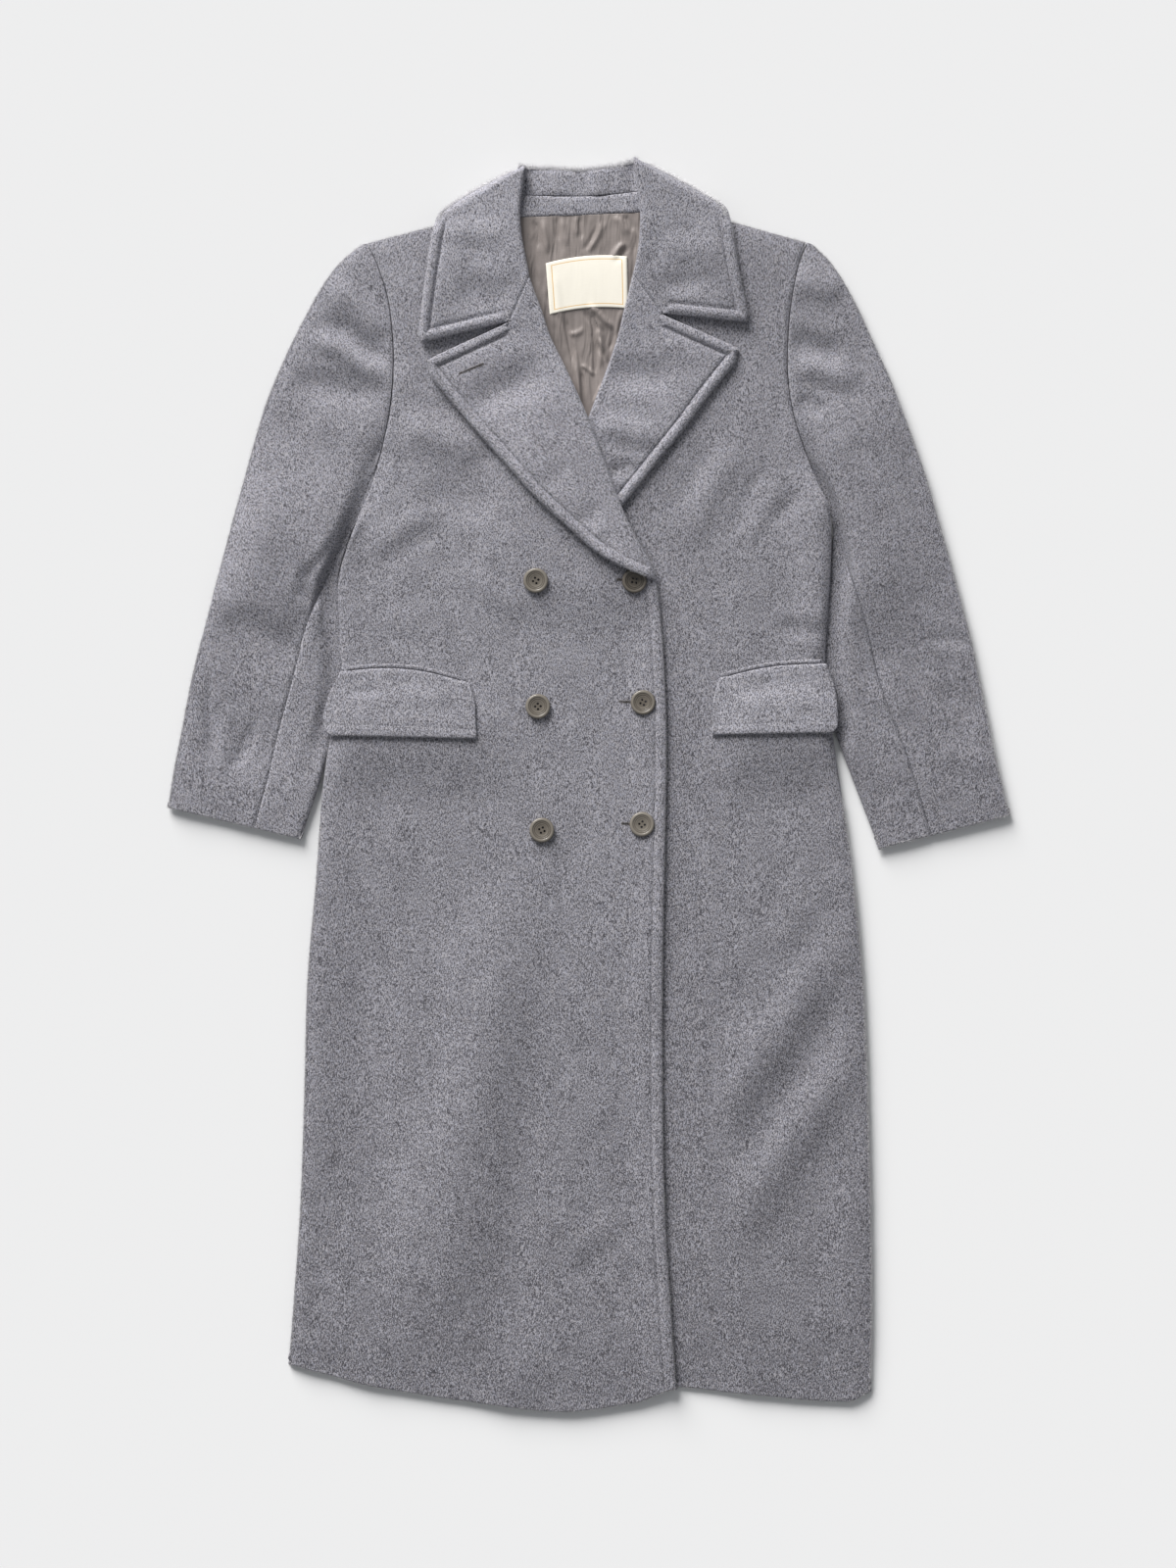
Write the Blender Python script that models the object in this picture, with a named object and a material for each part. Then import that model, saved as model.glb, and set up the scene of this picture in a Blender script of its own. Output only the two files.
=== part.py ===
"""Double-breasted wool coat laid flat on its back, front up, collar towards +Y.

Every cloth piece is a thin closed wall, lofted through sections that are read from a short table.
The tables are in millimetres from the middle of the coat; left and right are the wearer's.
"""
from collections import namedtuple
from math import cos, pi, radians, sin, sqrt

import bmesh
import bpy
from mathutils import Matrix, Vector

for old in list(bpy.data.objects):
    bpy.data.objects.remove(old, do_unlink=True)

MM = 0.001

# Cloth thicknesses and clearances
WOOL = 2.4
FACED = 4.6
SATIN = 1.0
SEAM = 0.3
RIDE = 0.9
SLACK = 3.8

# Levels of the layers above the ground
TUBE = WOOL + SLACK + WOOL
LEFT_LOW = WOOL + SATIN + 3 * SEAM
TUCKED = 0.9
TUCK_STEP = 30.0
TUCK_SLOPE = 60.0
HIDDEN_EDGE_X = -85.0
LAPEL_UNDER = 6.2
COLLAR_LIFT = FACED + SEAM

# Soft edges
SIDE_ROLL = 16.0
ROLL_ANGLES = (90, 58, 28, 0)
FINE_ROLL_ANGLES = (90, 65, 42, 20, 0)
EDGE_WALL = 1.3
CREASE_LEVEL = 7.2
STAND_ROLL = 7.0

# The hook of a lapel or collar leaf round the front's edge: distance in, height of its inside over the
# front's underside, and how far its outside lies below the level of the leaf
Hook = namedtuple("Hook", "inset low drop")
HOOK = (Hook(0, 1.6, 3.45), Hook(1.1, 0.3, 1.2), Hook(2.2, 0.3, 0.3), Hook(3.2, None, 0))
SMALL_TURN = 40.0
TURN_ROW = 25.0
TURN_GAP = 0.02
TURN_ACROSS = 4
FLAP_ROW = 22.0

# Where the collar fall lifts the back: middle, half width, lower limit and the length of each slope
FALL_MIDDLE_X = -8.0
FALL_REACH = 222.0
FALL_SIDE_SLOPE = 66.0
FALL_LOW_Y = 425.0
FALL_SLOPE = 110.0

# The tucked end of the left lapel lifts the right front along this line
TUCK_FROM = (12.0, 345.0)
TUCK_TO = (-14.0, 262.0)
TUCK_RADIUS = 48.0
TUCK_FADE = 80.0

# Button sizes
BUTTON_RADIUS = 12.7
BUTTON_HEIGHT = 4.0
BUTTON_DISH_RADIUS = 8.6
BUTTON_DISH_DEPTH = 1.1
BUTTON_FOOT_ROUND = 2.2
BUTTON_WAIST = 1.6
BUTTON_RIM_ROUND = 0.6
BUTTON_RIM_WIDTH = 1.8
BUTTON_SIDES = 20
HOLE_RADIUS = 1.1
HOLE_SPACING = 2.6
HOLE_SIDES = 6

Front = namedtuple("Front", "edge_x edge_y side_x side_y roll welt")
RIGHT_FRONT = (
    Front(-76, 588, -225, 551, 0, 0),
    Front(-75, 568, -215, 528, 0, 0),
    Front(-71, 538, -205, 497, 0, 0),
    Front(-66, 510, -200, 460, 0, 0),
    Front(-55, 478, -199, 425, 0, 0),
    Front(-43, 444, -202, 385, 0, 0),
    Front(-24, 410, -210, 345, 0, 0),
    Front(-7, 372, -222, 305, 0, 0),
    Front(10, 332, -237, 267, 0, 0),
    Front(27, 288, -255, 210, 0.5, 0),
    Front(45, 245, -254, 160, 1, 0),
    Front(66, 211, -252, 122, 1, 0.6),
    Front(73, 170, -255, 88, 1, 1),
    Front(77, 110, -264, 45, 1, 1),
    Front(79, 36, -272, -10, 1, 1),
    Front(77, -80, -278, -95, 1, 1),
    Front(75, -200, -287, -200, 1, 1),
    Front(75, -310, -290, -310, 1, 1),
    Front(77, -425, -294, -425, 1, 1),
    Front(83, -530, -301, -530, 1, 1),
    Front(89, -616, -306, -592, 1, 1),
)
LEFT_FRONT = (
    Front(63, 594, 221, 552, 0, 0),
    Front(56, 572, 212, 525, 0, 0),
    Front(54, 542, 205, 488, 0, 0),
    Front(49, 512, 202, 450, 0, 0),
    Front(42, 482, 202, 415, 0, 0),
    Front(33, 448, 207, 380, 0, 0),
    Front(20, 415, 217, 347, 0, 0),
    Front(4, 376, 231, 311, 0, 0),
    Front(-11, 336, 245, 278, 0, 0),
    Front(-26, 292, 247, 235, 0.5, 0),
    Front(-48, 248, 245, 195, 1, 0),
    Front(-65, 213, 242, 152, 1, 0),
    Front(-71, 172, 241, 118, 1, 0),
    Front(-76, 110, 246, 68, 1, 0),
    Front(-78, 36, 253, 18, 1, 0),
    Front(-78, -80, 268, -85, 1, 0),
    Front(-78, -200, 279, -200, 1, 0),
    Front(-78, -310, 284, -312, 1, 0),
    Front(-80, -425, 287, -428, 1, 0),
    Front(-85, -530, 288, -535, 1, 0),
    Front(-90, -612, 287, -618, 1, 0),
)
RIGHT_ACROSS, LEFT_ACROSS = 8, 9
HEM_FADE_ROWS = 4

# How far a hem hangs below, or the neck stands above, the straight line of its row
Drop = namedtuple("Drop", "share drop")
RIGHT_HEM = (Drop(0, 0), Drop(0.1, 17), Drop(0.3, 31), Drop(0.58, 25),
             Drop(0.8, 16), Drop(0.95, 4), Drop(1, 0))
LEFT_HEM = (Drop(0, 0), Drop(0.45, -1), Drop(0.66, 6), Drop(0.94, 12), Drop(1, 2))
BACK_HEM = (Drop(0, -5), Drop(0.1, 6), Drop(0.3, 23), Drop(0.47, 30), Drop(0.58, 20), Drop(0.66, 2),
            Drop(0.8, 6), Drop(0.95, 9), Drop(1, -4))
NECK_RISE = (Drop(0, 0), Drop(0.34, -37), Drop(0.49, -45), Drop(0.64, -42), Drop(1, 0))
NECK_FADE_ROWS = 5
NECK_SEAM_FROM = 0.2
NECK_SEAM_FADE = 0.1

Sleeve = namedtuple("Sleeve", "outer_x outer_y inner_x inner_y height seam")
RIGHT_SLEEVE_CAP = ((-231, 550), (-255, 530), (-275, 502), (-295, 465), (-311, 432),
                    (-329, 388), (-342, 345), (-353, 305), (-364, 265), (-379, 208))
LEFT_SLEEVE_CAP = ((228, 550), (249, 528), (271, 491), (290, 450), (306, 415),
                   (320, 379), (333, 344), (345, 308), (355, 273), (367, 232))
RIGHT_SLEEVE_ARM = (
    Sleeve(-391, 162, -258, 160, 7.4, 0.74),
    Sleeve(-401, 125, -256, 120, 7.2, 0.68),
    Sleeve(-409, 88, -260, 82, 7.2, 0.65),
    Sleeve(-415, 55, -268, 43, 7.6, 0.64),
    Sleeve(-423, 15, -276, -3, 8.2, 0.645),
    Sleeve(-429, -24, -294, -56, 8.6, 0.65),
)
LEFT_SLEEVE_ARM = (
    Sleeve(378, 191, 248, 190, 7.4, 0.77),
    Sleeve(389, 150, 246, 145, 7.2, 0.69),
    Sleeve(397, 112, 244, 110, 7.2, 0.65),
    Sleeve(406, 70, 249, 70, 7.4, 0.61),
    Sleeve(415, 25, 261, 25, 8.0, 0.58),
    Sleeve(429, -32, 296, -66, 8.6, 0.60),
)
CAP_TOP_HEIGHT = 5.4
CAP_SEAMS = (1, 1, 1, 1, 1, 1, 1, 1, 1, 0.9)
INNER_ROLL = 9.0
ARMHOLE_BUNCH = 3.0
CAP_ROLL = 0.4
UPPERS, FLATS, TURNS, TOPS = 5, 3, 6, 2

# Lapels and collar leaves run from the roll line, through the gorge, to the free edge
Turn = namedtuple("Turn", "roll_x roll_y mid_x mid_y edge_x edge_y crease stand_off")
RIGHT_LAPEL = (
    Turn(-60.5, 516.5, -81.5, 470, -170, 429, 0, 0),
    Turn(-55, 500, -75, 450, -155, 407, 0, 0),
    Turn(-48, 482, -68, 434, -136, 384, 0, 0),
    Turn(-39, 455, -60, 411, -113, 357, 0, 0),
    Turn(-24, 424, -45, 380, -86, 327, 0, 0),
    Turn(-4, 380, -23, 343, -56, 293, 0, 0),
    Turn(16, 328, -1, 300, -24, 263, 0, 0),
    Turn(35, 278, 24, 260, 10, 238, 0, 2),
    Turn(49, 245, 44, 234, 37, 223, 0, 4.5),
    Turn(61, 221, 59, 217, 57, 213, 0, 4.5),
)
LEFT_LAPEL = (
    Turn(44.5, 519, 74, 478, 158, 441, 0, 0),
    Turn(40, 500, 65, 460, 141, 419, 0, 0),
    Turn(35, 480, 59, 443, 122, 395, 0, 0),
    Turn(29, 455, 50, 420, 99, 364, 0, 0),
    Turn(17, 420, 36, 385, 74, 333, 0, 0),
    Turn(1, 378, 19, 348, 50, 303, 0, 0),
    Turn(-15, 336, 1, 310, 29, 278, 0, 0),
    Turn(-29, 294, -19, 278, 2, 258, 0, 0),
)
RIGHT_LEAF = (
    Turn(-65, 629, -70, 627, -77, 624, 1, 0),
    Turn(-67, 612, -86, 611, -105, 610, 1, 0),
    Turn(-69, 594, -99, 594, -131, 595, 1, 0),
    Turn(-70, 578, -106, 578, -152, 580, 0.8, 0),
    Turn(-68, 556, -103, 553, -159, 561, 0, 0),
    Turn(-64, 535, -96, 523, -165, 525, 0, 0),
    Turn(-62, 525, -88, 498, -170, 488, 0, 0),
    Turn(-61, 518, -82, 471, -174, 448, 0, 0),
)
LEFT_LEAF = (
    Turn(45, 638, 50, 636, 57, 632.5, 1, 0),
    Turn(48, 614, 67, 615, 87, 617, 1, 0),
    Turn(51, 594, 83, 596, 117, 600, 1, 0),
    Turn(52, 577, 91, 579, 139, 586, 0.7, 0),
    Turn(51, 555, 93, 556, 146, 564, 0, 0),
    Turn(49, 540, 87, 529, 152, 526, 0, 0),
    Turn(47, 529, 80, 504, 158, 497, 0, 0),
    Turn(45, 520.5, 75, 479.5, 164, 469, 0, 0),
)

# Flat panels, as the two ends of each row
Span = namedtuple("Span", "start_x start_y end_x end_y roll")
COLLAR_FALL = (
    Span(-74, 626, 54, 632, 1),
    Span(-105, 610, 87, 617, 1),
    Span(-131, 595, 117, 600, 1),
    Span(-150, 580, 137, 584, 0.8),
    Span(-154, 564, 138, 568, 0),
    Span(-125, 552, 108, 554, 0),
)
FALL_TOP_ROLL = 0.5
FALL_PLACES = (0, 0.2, FALL_TOP_ROLL, 1, 2, 3, 4, 5)
FALL_ACROSS = (0, 0.02, 0.06, 0.13, 0.3, 0.5, 0.7, 0.87, 0.94, 0.98, 1)
COLLAR_STAND = (
    Span(-72, 629, -74, 600, 0),
    Span(-40, 627, -42, 599, 0),
    Span(-8, 626, -8, 598.5, 0),
    Span(22, 629, 20, 600, 0),
    Span(49, 636, 54, 604, 0),
)
STAND_ACROSS = (0, 0.05, 0.14, 0.26, 0.6, 1)
NECK_FACING = (
    Span(-71.5, 596, -71.5, 577, 0),
    Span(-45, 597.5, -45, 578, 0),
    Span(-8, 597.5, -8, 579, 0),
    Span(25, 598.5, 25, 581, 0),
    Span(54.5, 600, 54.5, 582, 0),
)
LINING = (
    Span(-71.5, 575.5, 54.5, 580.5, 0),
    Span(-74, 540, 58, 544, 0),
    Span(-66, 505, 54, 510, 0),
    Span(-54, 465, 46, 470, 0),
    Span(-34, 420, 28, 424, 0),
    Span(-14, 385, 12, 388, 0),
)
LABEL = (Span(-44, 530, 39, 537, 0), Span(-42, 504, 39.5, 511, 0), Span(-40, 478, 40, 484, 0))

Flap = namedtuple("Flap", "outer_x outer_y inner_x inner_y")
RIGHT_FLAP = (Flap(-255, 114, -120, 102), Flap(-264, 94, -116, 92),
              Flap(-270, 64, -115, 61), Flap(-267, 49, -116, 46))
LEFT_FLAP = (Flap(242, 122, 131, 107), Flap(250, 94, 126, 94),
             Flap(253, 62, 126, 62), Flap(251, 52, 131, 50))
RIGHT_FLAP_ARCH = 9.0
LEFT_FLAP_ARCH = 5.0
FLAP_SIDE = 6.0
FLAP_TOP_PLACES = (0, 0.12, 0.6, 1.2)
FLAP_ACROSS = (0.2, 0.4, 0.6, 0.8)
JET_ALONG = 8
JET_WIDTH = 5.0
JET_HEIGHT = 1.8
JET_FROM, JET_TO = 0.06, 0.98
JET_SECTION = ((0, 0.6), (0.3, 1), (0.7, 1), (1, 0.4))

# A stitched edge is a soft roll with a groove along the stitches
Welt = namedtuple("Welt", "inset rise")
WELT = (Welt(0, -1.8), Welt(3, 0.6), Welt(8, 0.8), Welt(11.5, -0.8), Welt(14, 0))

# The largest folds, as ridges from one point to another
Fold = namedtuple("Fold", "from_x from_y to_x to_y width height")
FOLD_END, FOLD_START = 0.25, 0.15
RIGHT_FRONT_FOLDS = (
    Fold(-130, -100, -200, -540, 48, 2.6),
    Fold(10, -140, -45, -540, 58, 2.0),
    Fold(-215, 172, -165, 162, 24, 1.6),
)
LEFT_FRONT_FOLDS = (
    Fold(262, -150, 105, -350, 30, 2.8),
    Fold(275, -275, 130, -500, 32, 2.6),
    Fold(165, 345, 85, 240, 26, 1.6),
)
RIGHT_SLEEVE_FOLDS = (
    Fold(-285, 455, -215, 415, 17, 2.6),
    Fold(-300, 365, -215, 352, 32, 2.2),
    Fold(-345, 262, -300, 235, 34, 2.2),
)
LEFT_SLEEVE_FOLDS = (
    Fold(212, 445, 275, 430, 17, 2.4),
    Fold(228, 375, 285, 262, 22, 2.4),
    Fold(330, 180, 365, 120, 30, 1.8),
)

Button = namedtuple("Button", "x y")
BUTTONS = (Button(-54, 207), Button(46, 207), Button(-52, 79),
           Button(55, 83), Button(-48, -47), Button(54, -41))


def ease(t):
    """Smooth step from 0 to 1."""
    t = min(max(t, 0.0), 1.0)
    return t * t * (3 - 2 * t)


def quarter(t):
    """Height of a quarter circle, from 0 at its foot to 1 at its crown."""
    t = min(max(t, 0.0), 1.0)
    return sqrt(1 - (1 - t) ** 2)


def blend(low, high, t):
    return low + (high - low) * t


def section(rows, place):
    """A row of a table at any place along it, on a smooth curve through the rows."""
    last = len(rows) - 1
    first = min(int(place), last - 1)
    t = place - first
    a, b, c, d = (rows[min(max(first + step, 0), last)] for step in (-1, 0, 1, 2))
    values = []
    for p, q, r, s in zip(a, b, c, d):
        curve = q + 0.5 * t * (r - p + t * (2 * p - 5 * q + 4 * r - s + t * (3 * (q - r) + s - p)))
        values.append(curve)
    return type(rows[0])(*values)


def drop_at(profile, share):
    """Read a hem or neck profile, straight between its points."""
    for near, far in zip(profile, profile[1:]):
        if share <= far.share:
            return blend(near.drop, far.drop, (share - near.share) / (far.share - near.share))
    return profile[-1].drop


def distance_to_line(x, y, start, end):
    """Distance from a point to a line from start to end, and the share along it."""
    run = Vector(end) - Vector(start)
    share = min(max((Vector((x, y)) - Vector(start)).dot(run) / run.length_squared, 0.0), 1.0)
    return (Vector((x, y)) - Vector(start) - run * share).length, share


def folds(x, y, rows):
    """Height that the fold ridges add, each fading towards both of its ends."""
    rise = 0.0
    for row in rows:
        away, share = distance_to_line(x, y, (row.from_x, row.from_y), (row.to_x, row.to_y))
        ends = ease(share / FOLD_END + FOLD_START) * ease((1 - share) / FOLD_END + FOLD_START)
        rise += row.height * ease(1 - away / row.width) * ends
    return rise


def lift(x, y):
    """How far the collar fall holds the back off the ground."""
    across = ease((FALL_REACH - abs(x - FALL_MIDDLE_X)) / FALL_SIDE_SLOPE)
    return COLLAR_LIFT * ease((y - FALL_LOW_Y) / FALL_SLOPE) * across


def closing_edge(y):
    """X of the right front's edge at a height on the coat."""
    for upper, lower in zip(RIGHT_FRONT, RIGHT_FRONT[1:]):
        if y >= lower.edge_y:
            return blend(upper.edge_x, lower.edge_x, (upper.edge_y - y) / (upper.edge_y - lower.edge_y))
    return RIGHT_FRONT[-1].edge_x


def right_front_low(x, y):
    """Underside of the right front: on the back at the side, over the left front and its lapel inside."""
    away, _ = distance_to_line(x, y, TUCK_FROM, TUCK_TO)
    over_front = TUCKED * ease((x - HIDDEN_EDGE_X + TUCK_SLOPE) / TUCK_SLOPE)
    over_lapel = LAPEL_UNDER * ease(1 - (away - TUCK_RADIUS) / TUCK_FADE)
    return lift(x, y) + WOOL + SLACK + over_front + over_lapel + folds(x, y, RIGHT_FRONT_FOLDS)


def left_front_low(x, y):
    """Underside of the left front, which dips under the right front's edge."""
    free = ease((x - closing_edge(y) - TUCK_STEP) / TUCK_SLOPE)
    return lift(x, y) + LEFT_LOW + (WOOL + SLACK - LEFT_LOW) * free + folds(x, y, LEFT_FRONT_FOLDS) * free


def finish(name, colour, roughness):
    """A plain Principled material."""
    material = bpy.data.materials.new(name)
    material.use_nodes = True
    shader = material.node_tree.nodes["Principled BSDF"]
    shader.inputs["Base Color"].default_value = (*colour, 1)
    shader.inputs["Roughness"].default_value = roughness
    shader.inputs["Metallic"].default_value = 0.0
    return material


GREY_WOOL = finish("grey wool", (0.23, 0.225, 0.245), 0.95)
TAUPE_SATIN = finish("taupe lining satin", (0.29, 0.265, 0.26), 0.4)
CREAM_SATIN = finish("cream label satin", (0.90, 0.86, 0.76), 0.5)
HORN = finish("grey brown horn", (0.14, 0.125, 0.115), 0.25)


def add_object(name, bm, material):
    """Turn a bmesh into a named, smooth-shaded object with one material."""
    mesh = bpy.data.meshes.new(name)
    bm.to_mesh(mesh)
    bm.free()
    mesh.materials.append(material)
    mesh.shade_smooth()
    mesh.set_sharp_from_angle(angle=radians(40))
    piece = bpy.data.objects.new(name, mesh)
    bpy.context.scene.collection.objects.link(piece)
    return piece


def wall(name, outer, inner, material):
    """A closed cloth wall between two grids of points, lofted section by section."""
    bm = bmesh.new()
    rings = []
    for face, lining in zip(outer, inner):
        rings.append([bm.verts.new(Vector(point) * MM) for point in face + lining[::-1]])
    size = len(rings[0])
    for ring, following in zip(rings, rings[1:]):
        for here in range(size):
            there = (here + 1) % size
            bm.faces.new((ring[here], ring[there], following[there], following[here]))
    for ring in (rings[0], rings[-1]):
        for here in range(size // 2 - 1):
            bm.faces.new((ring[here], ring[here + 1], ring[-2 - here], ring[-1 - here]))
    bmesh.ops.recalc_face_normals(bm, faces=bm.faces[:])
    return add_object(name, bm, material)


def rolled(low, high, middle, rise):
    """Bend a wall's two faces from their level down (or up) to the seam at the side."""
    side = 1 if low > middle else -1
    near, far = (low, high) if side > 0 else (high, low)
    near_edge = middle + side * SEAM / 2
    far_edge = near_edge + side * EDGE_WALL
    near, far = blend(near_edge, near, rise), blend(far_edge, far, rise)
    return (near, far) if side > 0 else (far, near)


def welt_rise(inset):
    """Height of the stitched edge at a distance inside it."""
    for near, far in zip(WELT, WELT[1:]):
        if inset <= far.inset:
            return blend(near.rise, far.rise, (inset - near.inset) / (far.inset - near.inset))
    return 0.0


def roll_steps(radius, angles):
    """Distances inside an edge at which a rolled edge is sampled, at even turns round it."""
    return [radius * (1 - cos(radians(angle))) for angle in angles]


ROLL_STEPS = roll_steps(SIDE_ROLL, ROLL_ANGLES)
WELT_STEPS = [row.inset for row in WELT]
SHOULDER_STEPS = (0, 0.15, 0.4, 0.75)
BACK_ACROSS = 10


def front(name, rows, hem, low_at, across):
    """A front panel: shoulder edge, armhole and side on one hand, roll line and closing edge on the other."""
    outer, inner = [], []
    places = list(SHOULDER_STEPS) + list(range(1, len(rows)))
    for place in places:
        row = section(rows, place)
        edge, side = Vector((row.edge_x, row.edge_y)), Vector((row.side_x, row.side_y))
        width = (side - edge).length
        start, end = WELT_STEPS[-1] / width, 1 - ROLL_STEPS[0] / width
        shares = [step / width for step in WELT_STEPS]
        shares += [blend(start, end, step / across) for step in range(1, across)]
        shares += [1 - step / width for step in ROLL_STEPS]
        hang = ease(1 - (len(rows) - 1 - place) / HEM_FADE_ROWS)
        shoulder = quarter(place / SHOULDER_STEPS[-1])
        face, back = [], []
        for share in shares:
            x, y = edge.lerp(side, share)
            y -= hang * drop_at(hem, share)
            low = low_at(x, y)
            high = low + WOOL + row.welt * welt_rise(share * width)
            middle = lift(x, y) + TUBE / 2
            rise = 1 - row.roll * (1 - quarter((1 - share) * width / SIDE_ROLL))
            low, high = rolled(low, high, middle, min(rise, shoulder))
            face.append((x, y, high))
            back.append((x, y, low))
        outer.append(face)
        inner.append(back)
    return wall(name, outer, inner, GREY_WOOL)


def back_panel():
    """The back, flat on the ground between the two side seams, lifted over the collar fall."""
    outer, inner = [], []
    last = len(RIGHT_FRONT) - 1
    for place in list(SHOULDER_STEPS) + list(range(1, last + 1)):
        right, left = section(RIGHT_FRONT, place), section(LEFT_FRONT, place)
        start, end = Vector((right.side_x, right.side_y)), Vector((left.side_x, left.side_y))
        width = (end - start).length
        edge = [step / width for step in reversed(ROLL_STEPS)]
        shares = edge + [step / BACK_ACROSS for step in range(1, BACK_ACROSS)]
        shares += [1 - share for share in reversed(edge)]
        hang = ease(1 - (last - place) / HEM_FADE_ROWS)
        neck = 1 - ease(place / NECK_FADE_ROWS)
        roll = blend(right.roll, left.roll, 0.5)
        face, under = [], []
        for share in shares:
            x, y = start.lerp(end, share)
            y -= hang * drop_at(BACK_HEM, share) + neck * drop_at(NECK_RISE, share)
            low = lift(x, y)
            rise = 1 - roll * (1 - quarter(min(share, 1 - share) * width / SIDE_ROLL))
            at_neck = ease((0.5 - abs(share - 0.5) - NECK_SEAM_FROM) / NECK_SEAM_FADE)
            shoulder = max(at_neck, quarter(place / SHOULDER_STEPS[-1]))
            low, high = rolled(low, low + WOOL, low + TUBE / 2, min(rise, shoulder))
            face.append((x, y, high))
            under.append((x, y, low))
        outer.append(face)
        inner.append(under)
    return wall("back", outer, inner, GREY_WOOL)


def sleeve_rows(cap, arm, fronts, side):
    """The sleeve's sections: the cap meets the front's armhole, the arm runs on to the cuff."""
    rows = []
    for index, (outer_x, outer_y) in enumerate(cap):
        armhole = fronts[index]
        height = CAP_TOP_HEIGHT if index == 0 else TUBE
        inner_x = armhole.side_x + side * 2 * SEAM
        rows.append(Sleeve(outer_x, outer_y, inner_x, armhole.side_y, height, CAP_SEAMS[index]))
    return rows + list(arm)


def upper_sleeve(name, rows, fold_rows):
    """The upper sleeve, from the outer fold over the top to the seam near the inner edge."""
    outer, inner = [], []
    for row in rows:
        start, end = Vector((row.outer_x, row.outer_y)), Vector((row.inner_x, row.inner_y))
        width = (end - start).length
        roll = min(SIDE_ROLL, CAP_ROLL * width)
        insets = roll_steps(roll, reversed(ROLL_ANGLES))
        insets += [blend(roll, row.seam * width - SEAM, step / UPPERS) for step in range(1, UPPERS + 1)]
        face, back = [], []
        for inset in insets:
            x, y = start.lerp(end, inset / width)
            high = row.height + folds(x, y, fold_rows)
            low, high = rolled(high - WOOL, high, row.height / 2, quarter(inset / roll))
            face.append((x, y, high))
            back.append((x, y, low))
        outer.append(face)
        inner.append(back)
    return wall(name, outer, inner, GREY_WOOL)


def under_sleeve(name, rows):
    """The under sleeve, flat on the ground, turned up round the inner edge to the upper sleeve's seam."""
    outer, inner = [], []
    for row in rows:
        start, end = Vector((row.outer_x, row.outer_y)), Vector((row.inner_x, row.inner_y))
        width = (end - start).length
        roll = min(SIDE_ROLL, CAP_ROLL * width)
        middle = row.height / 2
        face, back = [], []
        for inset in roll_steps(roll, reversed(ROLL_ANGLES)):
            low, high = rolled(0, WOOL, middle, quarter(inset / roll))
            face.append((inset, low))
            back.append((inset, high))
        turned = row.seam < 1
        flat_end = width - (INNER_ROLL if turned else ARMHOLE_BUNCH)
        insets = [blend(roll, flat_end, step / FLATS) for step in range(1, FLATS + 1)]
        if not turned:
            insets += [blend(flat_end, width, step / (TURNS + TOPS)) for step in range(1, TURNS + TOPS + 1)]
        face += [(inset, 0) for inset in insets]
        back += [(inset, WOOL) for inset in insets]
        if turned:
            for step in range(1, TURNS + 1):
                angle = pi * (step / TURNS - 0.5)
                inside, half = INNER_ROLL - WOOL, middle - WOOL
                face.append((flat_end + INNER_ROLL * cos(angle), middle + middle * sin(angle)))
                back.append((flat_end + inside * cos(angle), middle + half * sin(angle)))
            for step in range(1, TOPS + 1):
                inset = blend(flat_end, min(row.seam * width, flat_end - SEAM), step / TOPS)
                face.append((inset, row.height))
                back.append((inset, row.height - WOOL))
        across = (end - start) / width
        outer.append([(*(start + across * inset), level) for inset, level in face])
        inner.append([(*(start + across * inset), level) for inset, level in back])
    return wall(name, outer, inner, GREY_WOOL)


def turned_piece(name, rows, low_at, first_welt, last_welt):
    """A lapel or collar leaf: hooked round the front's edge at its roll line, with a stitched free edge."""
    welt_places = [inset / TURN_ROW for inset in WELT_STEPS]
    last = len(rows) - 1
    places = list(range(len(rows)))
    if first_welt:
        places = welt_places + places[1:]
    if last_welt:
        places = places[:-1] + [last - place for place in reversed(welt_places)]
    outer, inner = [], []
    for place in places:
        row = section(rows, place)
        roll, mid, edge = (Vector(pair) for pair in (row[0:2], row[2:4], row[4:6]))
        first, second = (mid - roll).length, (edge - mid).length
        length = first + second
        small = min(1.0, length / SMALL_TURN)
        soft = (1 - row.crease) * small
        end_inset = TURN_ROW * (place if first_welt else last - place)
        end_rise = welt_rise(end_inset) * soft
        insets = [step.inset * small for step in HOOK]
        rolls = roll_steps(SIDE_ROLL, FINE_ROLL_ANGLES)
        border = [length - blend(roll_in, step, soft) for step, roll_in in zip(reversed(WELT_STEPS), rolls)]
        border = [max(step, insets[-1] + TURN_GAP * length) for step in border]
        insets += [blend(insets[-1], border[0], step / TURN_ACROSS) for step in range(1, TURN_ACROSS)]
        insets += border
        face, back = [], []
        for count, inset in enumerate(insets):
            if inset < first:
                x, y = roll.lerp(mid, inset / first)
            else:
                x, y = mid.lerp(edge, (inset - first) / second)
            base = low_at(x, y)
            low = base + WOOL + RIDE + row.stand_off * ease(inset / length)
            high = low + FACED + welt_rise(length - inset) * soft
            if count < len(HOOK) - 1:
                low = base + HOOK[count].low
                high -= HOOK[count].drop
            elif count >= len(HOOK):
                high = min(high, low + FACED + end_rise) if end_rise else high
            if row.crease > 0:
                rise = 1 - row.crease * (1 - quarter((length - inset) / min(SIDE_ROLL, length)))
                low, high = rolled(low, high, CREASE_LEVEL, rise)
            face.append((x, y, high))
            back.append((x, y, low))
        outer.append(face)
        inner.append(back)
    return wall(name, outer, inner, GREY_WOOL)


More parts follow.
